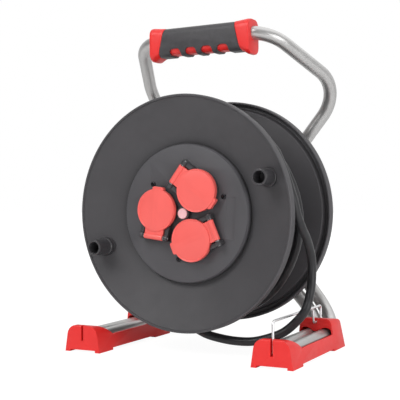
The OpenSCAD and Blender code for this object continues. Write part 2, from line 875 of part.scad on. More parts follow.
module thermal_cutout() {
    bore_back = shoulder + 16;
    color("dimgray") on_drum() difference() {
        union() {
            ring(cutout_r, 0, plate_in, cutout_back);
            ring(button_hole_r, 0, shoulder + button_travel + move_gap, plate_in + 1);
        }
        translate([0, 0, -bore_back]) cylinder(h = 60, r = stem_r + run_gap);
        ring(stem_r + 2, 0, plate_in + 5, bore_back);
    }
}

module button_collar() {
    color("black") on_drum() ring(button_r + 1.8, button_r + move_gap, button_front + 0.8, plate_front);
}

module reset_button() {
    color("pink") on_drum() {
        ring(button_r, 0, button_front, shoulder);
        ring(stem_r, 0, shoulder, plate_in + 5 + 3);
    }
}

module button_spring() {
    color("silver") on_drum()
        ring(stem_r + 1.6, stem_r + 0.4, plate_in + 5 + 3 + button_travel + move_gap, shoulder + 16);
}

// ---------- Crank knobs ----------
stud_r = 4;
stud_head_r = knob_bore_d / 2 - 0.8;
knob_front = knob_seat - move_gap - knob_len;
knob_shoulder = knob_seat - move_gap - 8;

module crank_knob(i) {
    base = knob_seat - move_gap;
    color("black") on_drum() rotate(knob_angle + 180 * i) translate([knob_r, 0, 0])
        rotate_extrude() polygon([
            [knob_bore_d / 2, -knob_front], [knob_d / 2 - 1, -knob_front],
            [knob_d / 2, -knob_front - 1], [knob_base_d / 2 - 1.2, -base + 5],
            [knob_base_d / 2, -base + 4], [knob_base_d / 2, -base], [stud_r + run_gap, -base],
            [stud_r + run_gap, -knob_shoulder], [knob_bore_d / 2, -knob_shoulder]
        ]);
}

module crank_knob_1() { crank_knob(0); }
module crank_knob_2() { crank_knob(1); }

module knob_studs() {
    color("gray") on_drum() at_knobs() {
        ring(stud_r, 0, knob_shoulder - move_gap, knob_seat + knob_boss_t + 1);
        ring(stud_head_r, 0, knob_shoulder - move_gap - 2.5, knob_shoulder - move_gap);
    }
}

// ---------- Cable ----------
// A loop is written by its angle, counted up from the free end, its radius and its depth.
loop_step = 15;
layer_start = dish_in + 2;
layer_from = 505;
// Loops in the outer layer, in whole quarters that fit in front of the rear flange
layer_loops = floor(4 * (rear_floor - move_gap - cable_r - layer_start) / layer_pitch) / 4;
wind_end = layer_from + 360 * layer_loops;
sink_turn = 45;
sink = 9;

function polar(r, y, a) = [r * cos(a), y, r * sin(a)];
function layer_point(a) = polar(
    layer_r - sink * max(0, a - (wind_end - sink_turn)) / sink_turn,
    layer_start + layer_pitch * (a - layer_from) / 360, a);
wind_points = [for (a = [layer_from:loop_step:wind_end]) layer_point(a)];

// The loose turn round the layer, which dives between the loops at its inner end
join_angle = 40;
dive_from = layer_from;
dive_r = 12;
loose_r_table = [
    [join_angle, 137], [90, 136], [180, 134], [294, 131.5], [350, 129.5], [370, 129.5], [402, 128],
    [450, 123.5], [492, 119.5], [dive_from, 118.5]
];
loose_y_table = [
    [join_angle, 20], [70, 29], [180, 52], [270, 78], [294, 83], [310, 80], [322, 73], [346, 67],
    [358, 65], [367, 56], [382, 48], [402, 38], [450, 31], [492, 27.5], [dive_from, 27]
];
function eased(table, a) = (lookup(a - 12, table) + 2 * lookup(a, table) + lookup(a + 12, table)) / 4;
function loose_point(a) = polar(eased(loose_r_table, a), eased(loose_y_table, a), a);
function dive_point(f) = let (r = eased(loose_r_table, dive_from))
    polar(r - dive_r * (1 - cos(f)), eased(loose_y_table, dive_from),
        dive_from + asin(dive_r * sin(f) / r));
join_dir = [sin(join_angle), -0.05, -cos(join_angle)];
join_point = loose_point(join_angle) + unit(join_dir) * cable_d;
dive_end = dive_point(90);
// The point at the same angle and depth, on radius r
function at_radius(p, r) = let (k = r / norm([p[0], p[2]])) [k * p[0], p[1], k * p[2]];
loose_points = concat(
    [join_point],
    [for (a = [join_angle:loop_step:dive_from]) loose_point(a)],
    [for (f = [22.5:22.5:90]) dive_point(f)],
    [at_radius(dive_end, layer_r + cable_r + move_gap)]
);

// The free cable, from the drum to the plug, in the frame's coordinates
tail_hand_points = [
    [130, 18, 220], [137, 17.5, 199], [140.5, 18, 188], [143, 21, 172], [146, 28, 156], [147, 38, 145],
    [147.2, 48, 132], [147.5, 55, 115], [147, 55, 92.5], [146.5, 50, 76.5], [144.5, 42, 60],
    [134, 41, 46], [119, 38, 32.5], [103, 33, 25.2], [82, 28, 19.8], [59, 27, 19], [37, 28, 20.9],
    [17, 33, 23.5], [0, 43, 26.5], [-12, 57, 26.5], [-20, 75, 25], [-26, 97, 22], [-33, 120, 18],
    [-40, 143, 14], [-46, 163, 10.5], [-54, 180, 9], [-64, 193, 10], [-75, 203, 13], [-85, 210, 16],
    [-94, 212, 19], [-104.5, 212, 19]
];
plug_z = 19;
plug_y = 212;
plug_x = -104.5;

// A tube of n sides along points p
function tangent(p, i) = unit(p[min(i + 1, len(p) - 1)] - p[max(i - 1, 0)]);
function carry(v, t) = unit(v - (v * t) * t);
function sides(p, v0) = [
    for (i = 0, v = carry(v0, tangent(p, 0)); i < len(p);
        i = i + 1, v = i < len(p) ? carry(v, tangent(p, i)) : v) v
];
function tube_ring(c, u, w, r, n) = [
    for (k = [0:n - 1]) c + r * (cos(360 * k / n) * u + sin(360 * k / n) * w)
];

module swept(p, r, n, v0) {
    u = sides(p, v0);
    m = len(p);
    points = [for (i = [0:m - 1]) each tube_ring(p[i], u[i], cross(tangent(p, i), u[i]), r, n)];
    skin = [
        for (i = [0:m - 2]) for (k = [0:n - 1]) let (a = i * n + k, b = i * n + (k + 1) % n)
            each [[a, a + n, b], [b, a + n, b + n]]
    ];
    ends = [for (k = [1:n - 2]) each [[0, k, k + 1], [(m - 1) * n, (m - 1) * n + k + 1, (m - 1) * n + k]]];
    polyhedron(points = points, faces = concat(skin, ends), convexity = 20);
}

// Points between the hand-chosen ones, on a smooth curve through them
function smooth_at(a, b, c, d, t) = 0.5 * ((2 * b) + (c - a) * t + (2 * a - 5 * b + 4 * c - d) * t * t
    + (3 * b - a - 3 * c + d) * t * t * t);
function smoothed(p) = [
    for (i = [0:len(p) - 2])
        let (a = p[max(i - 1, 0)], b = p[i], c = p[i + 1], d = p[min(i + 2, len(p) - 1)])
        each [b, smooth_at(a, b, c, d, 0.5)]
];

// The drum-frame points of the winding, moved to the frame's coordinates
function drum_to_frame(q) = [q[0], q[1], q[2] + axle_h];
tail_start = drum_to_frame(join_point);
tail_route = concat(
    [tail_start],
    smoothed(concat([tail_start + unit(join_dir) * cable_d], tail_hand_points)),
    [[plug_x, plug_y, plug_z]]
);

// Least gap between two stretches of the winding that aren't neighbours
function least_gap(p, skip) = min([
    for (i = [0:len(p) - 1 - skip]) min([for (j = [i + skip:len(p) - 1]) norm(p[i] - p[j])])
]) - cable_d;
echo(winding_least_gap = least_gap(wind_points, 12));
echo(loose_least_gap = least_gap(loose_points, 12));
echo(tail_least_gap = least_gap(tail_route, 8));

module cord_winding() {
    color("#222") in_frame() translate([0, 0, axle_h]) swept(wind_points, cable_r, 6, [0, 1, 0]);
}

module cord_loose() {
    color("#222") in_frame() translate([0, 0, axle_h]) swept(loose_points, cable_r, 6, [0, 1, 0]);
}

module cord_core() {
    core_r = layer_r - cable_r - 0.35;
    color("#222") on_drum() ring(core_r, barrel_r, dish_in + 0.3, rear_floor - 0.3);
}

gland_r = cable_r + 2.2;
lead_y = rear_floor - 18;
lead_angle = -7;
lead_bend = 14;
lead_r = 36;
module cord_gland() {
    color("black") on_drum() rotate(lead_angle) translate([0, 0, -lead_y]) rotate([0, 90, 0]) difference() {
        union() {
            translate([0, 0, barrel_r - 7]) cylinder(h = 6, r = gland_r);
            translate([0, 0, barrel_r - 9]) cylinder(h = 4, r = gland_r + 2.5);
        }
        cylinder(h = 100, r = cable_r + seat_gap);
    }
}

// The cable's inner end, from the gland to the back of the sockets
module cord_lead() {
    color("#222") on_drum() rotate(lead_angle) bent_bar(
        [[barrel_r - 2, 0, -lead_y], [lead_r, 0, -lead_y], [lead_r, 0, -insert_back - 14]],
        [lead_bend], cable_r);
}

module cord_tail() { color("#222") in_frame() swept(tail_route, cable_r, 8, [0, 1, 0]); }

// ---------- Plug ----------
relief_len = 32;
plug_len = 42;
plug_r = 19;
plug_pin_r = 2.4;
plug_pin_len = 19;

// Places what is drawn along +Z at the end of the tail, with +Z pointing to the plug's pins
module at_plug() { in_frame() translate([plug_x, plug_y, plug_z]) rotate([0, -90, 0]) children(); }

module plug_relief() {
    color("#222") at_plug() rotate_extrude() polygon([
        [0, 0], [cable_r + 1.2, 0], [cable_r + 3.6, relief_len], [0, relief_len]
    ]);
}

module plug_body() {
    color("#222") at_plug() translate([0, 0, relief_len]) difference() {
        rotate_extrude() polygon([
            [0, 0], [10, 0], [13, 4], [15.5, 22], [17.5, 28], [plug_r, 31], [plug_r, plug_len - 1],
            [plug_r - 1, plug_len], [0, plug_len]
        ]);
        for (x = [-pin_pitch / 2, pin_pitch / 2]) translate([x, 0, plug_len - 12])
            cylinder(h = 20, r = plug_pin_r);
    }
}

module plug_pins() {
    color("silver") at_plug() translate([0, 0, relief_len + plug_len - 12])
        for (x = [-pin_pitch / 2, pin_pitch / 2]) translate([x, 0, 0])
            cylinder(h = 12 + plug_pin_len, r = plug_pin_r);
}

frame_bow();
lower_bow();
foot_left();
foot_right();
foot_rivets();
cable_guide();
bearing_bracket();
bracket_cover();
bracket_screws();
axle();
axle_washer();
axle_clip();
handle_shell_upper();
handle_shell_lower();
grip_upper();
grip_lower();
handle_screws();
front_flange();
rear_flange();
drum_barrel();
drum_hub();
bush_front();
bush_rear();
socket_plate();
plate_screws();
socket_insert_1();
socket_insert_2();
socket_insert_3();
earth_clips();
live_contacts();
lid_pins();
lid_springs();
lid_1();
lid_2();
lid_3();
lid_seal_1();
lid_seal_2();
lid_seal_3();
thermal_cutout();
button_collar();
reset_button();
button_spring();
crank_knob_1();
crank_knob_2();
knob_studs();
cord_core();
cord_winding();
cord_loose();
cord_gland();
cord_lead();
cord_tail();
plug_relief();
plug_body();
plug_pins();
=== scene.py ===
"""Extension cord reel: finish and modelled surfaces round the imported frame."""
import json
import math

import bmesh
import bpy
from mathutils import Matrix, Vector


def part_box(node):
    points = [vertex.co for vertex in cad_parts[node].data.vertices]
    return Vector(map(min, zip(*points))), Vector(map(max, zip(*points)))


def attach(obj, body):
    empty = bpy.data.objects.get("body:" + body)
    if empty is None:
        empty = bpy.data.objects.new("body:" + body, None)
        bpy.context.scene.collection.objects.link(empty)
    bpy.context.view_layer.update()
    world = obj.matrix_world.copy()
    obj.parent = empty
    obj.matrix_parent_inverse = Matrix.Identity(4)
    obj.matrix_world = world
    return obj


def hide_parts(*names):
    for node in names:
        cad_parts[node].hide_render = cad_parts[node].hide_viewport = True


bl_info = {
    "name": "Extension cord reel",
    "version": (1, 0, 0),
    "blender": (4, 5, 0),
    "location": "View3D > Sidebar > Reel",
    "description": "Builds the cord reel's pieces and finishes round its frame",
    "category": "Object",
}

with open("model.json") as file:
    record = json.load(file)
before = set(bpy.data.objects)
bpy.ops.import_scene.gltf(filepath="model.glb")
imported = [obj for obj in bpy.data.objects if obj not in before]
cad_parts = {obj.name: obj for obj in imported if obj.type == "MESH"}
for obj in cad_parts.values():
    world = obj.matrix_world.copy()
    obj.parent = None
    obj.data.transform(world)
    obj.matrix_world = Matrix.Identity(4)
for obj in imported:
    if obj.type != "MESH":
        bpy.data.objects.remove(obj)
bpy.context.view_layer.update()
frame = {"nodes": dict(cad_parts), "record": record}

MM = 0.001
TURN = 2 * math.pi


def middle(node):
    """The middle of a CAD node's box."""
    low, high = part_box(node)
    return (low + high) / 2


def span(node, axis):
    """The length of a CAD node's box along an axis (0, 1 or 2), in millimetres."""
    low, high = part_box(node)
    return (high[axis] - low[axis]) / MM


# The drum's axis runs along Y. Depths are counted from the front rim's plane, in millimetres.
FRONT_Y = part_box("front_flange")[0].y / MM
AXLE_Z = middle("front_flange").z / MM
FLANGE_R = span("front_flange", 0) / 2
DRUM_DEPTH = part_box("rear_flange")[1].y / MM - FRONT_Y

# Places shared by several pieces, in millimetres and degrees
SOCKET_R = 35.0
SOCKET_ANGLES = (52.6, 172.6, 292.6)
KNOB_R = 121.0
KNOB_ANGLES = (20.4, 200.4)
DISH_DEPTH = 20.5
PLATE_FRONT = 11.5
PLATE_R = 86.0
TUBE_R = 8.5
CABLE_R = 5.25


# ---------- Placing ----------
# Turns for outlines drawn flat: seen from the front as (x, z), or from the side as (y, z)
SEEN_FROM_FRONT = Matrix(((1, 0, 0), (0, 0, 1), (0, 1, 0))).to_4x4()
SEEN_FROM_SIDE = Matrix(((0, 0, 1), (1, 0, 0), (0, 1, 0))).to_4x4()
FLAT = Matrix.Identity(4)


def at(x=0.0, y=0.0, z=0.0):
    """A move to a place in millimetres, with y counted from the front rim's plane."""
    return Matrix.Translation(Vector((x, FRONT_Y + y, z)) * MM)


def on_drum(angle=0.0, radius=0.0):
    """A matrix for pieces drawn with +Z to the front, +X outwards at an angle round the drum's axis."""
    a = math.radians(angle)
    stand = Matrix(((1, 0, 0), (0, 0, -1), (0, 1, 0))).to_4x4()
    return at(radius * math.cos(a), 0, AXLE_Z + radius * math.sin(a)) @ stand @ Matrix.Rotation(a, 4, "Z")


def real(points):
    """Points in millimetres as vectors in metres."""
    return [Vector(p) * MM for p in points]


# ---------- Outlines ----------
def rounded(points, radii, steps=5):
    """A closed outline with its corners rounded. radii is one number or one for each corner."""
    count = len(points)
    radii = [radii] * count if isinstance(radii, (int, float)) else radii
    outline = []
    for i, corner in enumerate(points):
        p = Vector(corner)
        to_a = Vector(points[i - 1]) - p
        to_b = Vector(points[(i + 1) % count]) - p
        half = to_a.angle(to_b, math.pi) / 2
        if radii[i] <= 0 or half > math.radians(89.5):
            outline.append(tuple(p))
            continue
        reach = min(radii[i] / math.tan(half), 0.49 * to_a.length, 0.49 * to_b.length)
        r = reach * math.tan(half)
        centre = p + (to_a.normalized() + to_b.normalized()).normalized() * (r / math.sin(half))
        start = p + to_a.normalized() * reach - centre
        end = p + to_b.normalized() * reach - centre
        sweep = start.angle_signed(end)
        for k in range(steps + 1):
            turned = start.copy()
            turned.rotate(Matrix.Rotation(-sweep * k / steps, 2))
            outline.append(tuple(centre + turned))
    return outline


def rounded_box(low, high, radii, steps=5):
    """A rectangle's outline between two corners, started at the low one, with rounded corners."""
    return rounded([low, (high[0], low[1]), high, (low[0], high[1])], radii, steps)


# ---------- Mesh building ----------
def linked(name, data):
    """A new object in the scene."""
    obj = bpy.data.objects.new(name, data)
    bpy.context.scene.collection.objects.link(obj)
    return obj


def new_piece(name, mesh, body, finish, nodes, sharp=35):
    """Links a mesh as a piece that rides on a body and stands for CAD nodes."""
    mesh.polygons.foreach_set("use_smooth", [True] * len(mesh.polygons))
    mesh.set_sharp_from_angle(angle=math.radians(sharp))
    mesh.materials.clear()
    mesh.materials.append(material(finish))
    obj = linked(name, mesh)
    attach(obj, body)
    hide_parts(*nodes)
    return obj


def mesh_from(name, work):
    """A mesh from a bmesh, with its doubles merged and its faces turned outwards."""
    bmesh.ops.remove_doubles(work, verts=work.verts, dist=0.5e-5)
    bmesh.ops.recalc_face_normals(work, faces=work.faces)
    mesh = bpy.data.meshes.new(name)
    work.to_mesh(mesh)
    work.free()
    return mesh


def add_lathe(work, outline, place, segments=96):
    """Turns a closed outline of (radius, height) in millimetres about the local Z axis."""
    rings = []
    for k in range(segments):
        a = TURN * k / segments
        rings.append([
            work.verts.new(place @ (Vector((r * math.cos(a), r * math.sin(a), h)) * MM))
            for r, h in outline
        ])
    for here, there in zip(rings, rings[1:] + rings[:1]):
        for i, j in edges_round(outline):
            if max(outline[i][0], outline[j][0]) > 1e-6:
                work.faces.new([here[i], here[j], there[j], there[i]])


def edges_round(outline):
    """Pairs of neighbouring places in a closed outline."""
    return [(i, (i + 1) % len(outline)) for i in range(len(outline))]


def add_prism(work, outline, low, high, place):
    """A straight prism on an outline in the local XY plane, from one height to another."""
    bottom, top = (
        [work.verts.new(place @ (Vector((x, y, z)) * MM)) for x, y in outline] for z in (low, high))
    work.faces.new(bottom)
    work.faces.new(top)
    for i, j in edges_round(outline):
        work.faces.new([bottom[i], bottom[j], top[j], top[i]])


def lathe_mesh(name, outline, place, segments=96):
    """A turned body as a mesh of its own."""
    work = bmesh.new()
    add_lathe(work, outline, place, segments)
    return mesh_from(name, work)


def prism_mesh(name, outline, low, high, place=FLAT):
    """A prism as a mesh of its own."""
    work = bmesh.new()
    add_prism(work, outline, low, high, place)
    return mesh_from(name, work)


def applied(obj):
    """The mesh of an object with its modifiers applied. The object is removed."""
    depsgraph = bpy.context.evaluated_depsgraph_get()
    mesh = bpy.data.meshes.new_from_object(obj.evaluated_get(depsgraph), depsgraph=depsgraph)
    bpy.data.objects.remove(obj)
    return mesh


def bevelled(mesh, width, segments=3, angle=28):
    """The mesh with its sharp edges rounded."""
    holder = linked("holder", mesh)
    bevel = holder.modifiers.new("Bevel", "BEVEL")
    bevel.width = width * MM
    bevel.segments = segments
    bevel.limit_method = "ANGLE"
    bevel.angle_limit = math.radians(angle)
    return applied(holder)


def boolean(mesh, steps):
    """The mesh after joining or cutting other closed meshes, in turn."""
    holder = linked("holder", mesh)
    cutters = []
    for operation, other in steps:
        cutters.append(linked("cutter", other))
        modifier = holder.modifiers.new(operation, "BOOLEAN")
        modifier.operation = operation
        modifier.solver = "EXACT"
        modifier.object = cutters[-1]
    result = applied(holder)
    for obj in cutters:
        bpy.data.objects.remove(obj)
    return result


def cut(mesh, cutters):
    """The mesh after cutting other closed meshes out of it."""
    return boolean(mesh, [("DIFFERENCE", other) for other in cutters])


def softened(node, width):
    """A copy of a CAD node's mesh, merged, with its sharp edges rounded."""
    work = bmesh.new()
    work.from_mesh(frame["nodes"][node].data)
    bmesh.ops.remove_doubles(work, verts=work.verts, dist=1e-5)
    bmesh.ops.dissolve_limit(work, angle_limit=math.radians(1), verts=work.verts, edges=work.edges)
    return bevelled(mesh_from(node + "_soft", work), width, 2, 30)


def joined(name, meshes):
    """One mesh made of several."""
    work = bmesh.new()
    for mesh in meshes:
        work.from_mesh(mesh)
    mesh = bpy.data.meshes.new(name)
    work.to_mesh(mesh)
    work.free()
    return mesh


# ---------- Paths ----------
def bent_path(points, radii, steps=14):
    """A path through corner points with a bend at each inner corner, in the points' own unit."""
    path = [Vector(points[0])]
    for i in range(1, len(points) - 1):
        p, a, b = (Vector(points[k]) for k in (i, i - 1, i + 1))
        to_a, to_b = (a - p).normalized(), (b - p).normalized()
        half = to_a.angle(to_b) / 2
        centre = p + (to_a + to_b).normalized() * (radii[i - 1] / math.sin(half))
        start = p + to_a * (radii[i - 1] / math.tan(half)) - centre
        end = p + to_b * (radii[i - 1] / math.tan(half)) - centre
        full = start.angle(end)
        for k in range(steps + 1):
            part, rest = full * k / steps, full * (steps - k) / steps
            path.append(centre + (start * math.sin(rest) + end * math.sin(part)) / math.sin(full))
    path.append(Vector(points[-1]))
    return path


def smooth_path(points, steps=4):
    """A smooth path through given points."""
    pts = [Vector(p) for p in points]
    path = []
    for i in range(len(pts) - 1):
        a, b, c, d = pts[max(i - 1, 0)], pts[i], pts[i + 1], pts[min(i + 2, len(pts) - 1)]
        for k in range(steps):
            t = k / steps
            path.append(0.5 * (2 * b + (c - a) * t + (2 * a - 5 * b + 4 * c - d) * t ** 2
                               + (3 * b - a - 3 * c + d) * t ** 3))
    path.append(pts[-1])
    return path


def curve_object(name, path, radius=0.0):
    """An open poly curve along points in metres."""
    data = bpy.data.curves.new(name, "CURVE")
    data.dimensions = "3D"
    data.twist_mode = "MINIMUM"
    spline = data.splines.new("POLY")
    spline.points.add(len(path) - 1)
    for point, place in zip(spline.points, path):
        point.co = (*place, 1)
    data.bevel_depth = radius
    data.bevel_resolution = 8
    data.use_fill_caps = True
    return linked(name, data)


# ---------- Node trees ----------
def set_inputs(node, values):
    """Sets constants on a node's inputs, by their names."""
    for label, value in values.items():
        node.inputs[label].default_value = value


def worker(nodes, kind, operation):
    """A new maths node for one operation."""
    node = nodes.new(kind)
    node.operation = operation
    return node


def node_tree(name, inputs):
    """A geometry tree with named inputs. Each input is (name, socket type, default)."""
    tree = bpy.data.node_groups.new(name, "GeometryNodeTree")
    for way in ("OUTPUT", "INPUT"):
        tree.interface.new_socket("Geometry", in_out=way, socket_type="NodeSocketGeometry")
    for label, kind, default in inputs + [("Material", "NodeSocketMaterial", None)]:
        socket = tree.interface.new_socket(label, in_out="INPUT", socket_type=kind)
        if default is not None:
            socket.default_value = default
    return tree, tree.nodes.new("NodeGroupInput").outputs


def finish_tree(tree, source, given):
    """Ends a tree in Realize Instances and Set Material."""
    solid = tree.nodes.new("GeometryNodeRealizeInstances")
    paint = tree.nodes.new("GeometryNodeSetMaterial")
    out = tree.nodes.new("NodeGroupOutput")
    tree.links.new(source, solid.inputs["Geometry"])
    tree.links.new(solid.outputs["Geometry"], paint.inputs["Geometry"])
    tree.links.new(given["Material"], paint.inputs["Material"])
    tree.links.new(paint.outputs["Geometry"], out.inputs["Geometry"])
    return tree


def tube_tree():
    """A round tube along a curve."""
    if "Tube" in bpy.data.node_groups:
        return bpy.data.node_groups["Tube"]
    tree, given = node_tree("Tube", [
        ("Radius", "NodeSocketFloat", 0.005), ("Sides", "NodeSocketInt", 24)])
    circle = tree.nodes.new("GeometryNodeCurvePrimitiveCircle")
    sweep = tree.nodes.new("GeometryNodeCurveToMesh")
    sweep.inputs["Fill Caps"].default_value = True
    tree.links.new(given["Radius"], circle.inputs["Radius"])
    tree.links.new(given["Sides"], circle.inputs["Resolution"])
    tree.links.new(given["Geometry"], sweep.inputs["Curve"])
    tree.links.new(circle.outputs["Curve"], sweep.inputs["Profile Curve"])
    return finish_tree(tree, sweep.outputs["Mesh"], given)


def ring_tree():
    """Copies of a small piece set round the local Z axis."""
    if "Ring of pieces" in bpy.data.node_groups:
        return bpy.data.node_groups["Ring of pieces"]
    tree, given = node_tree("Ring of pieces", [
        ("Count", "NodeSocketInt", 3), ("Radius", "NodeSocketFloat", 0.05),
        ("Start", "NodeSocketFloat", 0.0), ("Step", "NodeSocketFloat", TURN / 3)])
    nodes, link = tree.nodes, tree.links.new
    index = nodes.new("GeometryNodeInputIndex")
    points = nodes.new("GeometryNodePoints")
    copies = nodes.new("GeometryNodeInstanceOnPoints")
    angle = worker(nodes, "ShaderNodeMath", "MULTIPLY_ADD")
    outwards = nodes.new("ShaderNodeCombineXYZ")
    turn = nodes.new("ShaderNodeCombineXYZ")
    reach = worker(nodes, "ShaderNodeVectorMath", "SCALE")
    for i, source in enumerate((index.outputs["Index"], given["Step"], given["Start"])):
        link(source, angle.inputs[i])
    for operation, label in (("COSINE", "X"), ("SINE", "Y")):
        wave = worker(nodes, "ShaderNodeMath", operation)
        link(angle.outputs[0], wave.inputs[0])
        link(wave.outputs[0], outwards.inputs[label])
    link(outwards.outputs[0], reach.inputs[0])
    link(given["Radius"], reach.inputs["Scale"])
    link(given["Count"], points.inputs["Count"])
    link(reach.outputs[0], points.inputs["Position"])
    link(points.outputs[0], copies.inputs["Points"])
    link(given["Geometry"], copies.inputs["Instance"])
    link(angle.outputs[0], turn.inputs["Z"])
    link(turn.outputs[0], copies.inputs["Rotation"])
    return finish_tree(tree, copies.outputs["Instances"], given)


def run_tree(obj, tree, **values):
    """Puts a geometry tree on an object, sets its inputs and returns the resulting mesh."""
    modifier = obj.modifiers.new("Build", "NODES")
    modifier.node_group = tree
    for item in tree.interface.items_tree:
        if item.in_out == "INPUT" and item.name in values:
            modifier[item.identifier] = values[item.name]
    return applied(obj)


def tube_mesh(name, path, radius, finish=None, sides=24):
    """A mesh tube along a path in metres."""
    return run_tree(curve_object(name, path), tube_tree(), Radius=radius, Sides=sides, Material=finish)


def ring_mesh(name, mesh, finish, place, **values):
    """Copies of a mesh set round an axis, moved to a place."""
    result = run_tree(linked(name, mesh), ring_tree(), Material=finish, **values)
    result.transform(place)
    return result


# ---------- Materials ----------
NOISE_RANGE = (0.3, 0.7)


def mapped(nodes, link, value, source, result):
    """A value moved from one range to another and kept between its ends."""
    node = nodes.new("ShaderNodeMapRange")
    labels = ("From Min", "From Max", "To Min", "To Max")
    set_inputs(node, dict(zip(labels, (*source, *result))))
    link(value, node.inputs["Value"])
    return node.outputs["Result"]


def shader(name):
    """A new material and its nodes: principled shader, Object coordinates and a link function."""
    made = bpy.data.materials.new(name)
    made.use_nodes = True
    nodes = made.node_tree.nodes
    coords = nodes.new("ShaderNodeTexCoord").outputs["Object"]
    return made, nodes, nodes["Principled BSDF"], coords, made.node_tree.links.new


def noise(nodes, link, coords, scale, detail, stretch=None):
    """A noise texture's value on Object coordinates, which may be stretched along an axis."""
    texture = nodes.new("ShaderNodeTexNoise")
    set_inputs(texture, {"Scale": scale, "Detail": detail})
    if stretch:
        mapping = nodes.new("ShaderNodeMapping")
        set_inputs(mapping, {"Scale": stretch})
        link(coords, mapping.inputs["Vector"])
        coords = mapping.outputs["Vector"]
    link(coords, texture.inputs["Vector"])
    return texture.outputs["Fac"]


def ramp(nodes, link, value, low, high):
    """A noise value turned into a range of numbers or into a blend of two colours."""
    if isinstance(low, (int, float)):
        return mapped(nodes, link, value, NOISE_RANGE, (low, high))
    colours = nodes.new("ShaderNodeValToRGB")
    stops = colours.color_ramp.elements
    for i, colour in enumerate((low, high)):
        stops[i].position = NOISE_RANGE[i]
        stops[i].color = (*colour, 1)
    link(value, colours.inputs["Fac"])
    return colours.outputs["Color"]


def bump(nodes, link, bsdf, values):
    """Adds bumps to a shader. values are (texture value, height in metres, strength)."""
    normal = None
    for value, height, strength in values:
        node = nodes.new("ShaderNodeBump")
        set_inputs(node, {"Distance": height, "Strength": strength})
        link(value, node.inputs["Height"])
        if normal:
            link(normal, node.inputs["Normal"])
        normal = node.outputs["Normal"]
    link(normal, bsdf.inputs["Normal"])


def shifted(colour, share):
    """A colour made darker or lighter by a share."""
    return tuple(min(1.0, c * share) for c in colour)


def painted_light_rings(nodes, link, coords, tint, rings):
    """The tint with painted light and shade in rings round the drum's axis. rings are (radius in mm, share of
    the tint).
    """
    away, flat, radius, level, shading = (
        worker(nodes, "ShaderNodeVectorMath", operation)
        for operation in ("SUBTRACT", "MULTIPLY", "LENGTH", "SCALE", "MULTIPLY"))
    away.inputs[1].default_value = (0, 0, AXLE_Z * MM)
    flat.inputs[1].default_value = (1, 0, 1)
    set_inputs(level, {"Scale": RING_SHARE})
    shade = nodes.new("ShaderNodeValToRGB")
    stops = shade.color_ramp.elements
    for i, (r, share) in enumerate(rings):
        # A colour ramp starts out with two stops
        stop = stops[i] if i < 2 else stops.new(r / RING_REACH)
        stop.position = r / RING_REACH
        stop.color = (share / RING_SHARE,) * 3 + (1,)
    link(coords, away.inputs[0])
    link(away.outputs[0], flat.inputs[0])
    link(flat.outputs[0], radius.inputs[0])
    link(mapped(nodes, link, radius.outputs["Value"], (0, RING_REACH * MM), (0, 1)), shade.inputs["Fac"])
    link(shade.outputs["Color"], level.inputs[0])
    link(tint, shading.inputs[0])
    link(level.outputs[0], shading.inputs[1])
    return shading.outputs[0]


def moulded_plastic(name, colour, rough, grain=1.0, spread=0.10, coat=0.0, rings=None):
    """Moulded plastic with a fine spark-eroded grain, slight flow marks and uneven gloss; with rings, also
    painted highlights and painted shade round the drum's axis.
    """
    made, nodes, bsdf, coords, link = shader(name)
    flow = noise(nodes, link, coords, 22, 3)
    pits = noise(nodes, link, coords, 2600, 2)
    gloss = noise(nodes, link, coords, 90, 5)
    tint = ramp(nodes, link, flow, shifted(colour, 1 - spread), shifted(colour, 1 + spread))
    # Painted highlights and painted shade in rings round the drum's axis
    if rings:
        tint = painted_light_rings(nodes, link, coords, tint, rings)
    link(tint, bsdf.inputs["Base Color"])
    link(ramp(nodes, link, gloss, rough - 0.06, rough + 0.07), bsdf.inputs["Roughness"])
    bump(nodes, link, bsdf, [(pits, 0.00006, 0.35 * grain), (flow, 0.0004, 0.06)])
    set_inputs(bsdf, {"Specular IOR Level": 0.45, "Coat Weight": coat, "Coat Roughness": 0.25})
    return made


def galvanised(name, colour, rough):
    """Zinc-coated steel tube: soft spangle, drawing marks and dull patches."""
    made, nodes, bsdf, coords, link = shader(name)
    spangle = nodes.new("ShaderNodeTexVoronoi")
    set_inputs(spangle, {"Scale": 420})
    link(coords, spangle.inputs["Vector"])
    patches = noise(nodes, link, coords, 55, 6)
    scratches = noise(nodes, link, coords, 900, 3, (1, 1, 0.15))
    blend = worker(nodes, "ShaderNodeMath", "MULTIPLY_ADD")
    blend.inputs[1].default_value = 0.25
    link(spangle.outputs["Distance"], blend.inputs[0])
    link(patches, blend.inputs[2])
    tint = ramp(nodes, link, blend.outputs[0], shifted(colour, 0.94), shifted(colour, 1.04))
    link(tint, bsdf.inputs["Base Color"])
    link(ramp(nodes, link, patches, rough - 0.03, rough + 0.05), bsdf.inputs["Roughness"])
    bump(nodes, link, bsdf, [(scratches, 0.00004, 0.04), (patches, 0.0001, 0.012)])
    set_inputs(bsdf, {"Metallic": 0.8})
    return made


def bright_metal(name, colour, rough):
    """Plated wire, screws and brass contacts, with fine turning marks."""
    made, nodes, bsdf, coords, link = shader(name)
    marks = noise(nodes, link, coords, 1500, 3)
    link(ramp(nodes, link, marks, shifted(colour, 0.92), shifted(colour, 1.05)), bsdf.inputs["Base Color"])
    link(ramp(nodes, link, marks, rough - 0.05, rough + 0.08), bsdf.inputs["Roughness"])
    bump(nodes, link, bsdf, [(marks, 0.00003, 0.06)])
    set_inputs(bsdf, {"Metallic": 1.0})
    return made


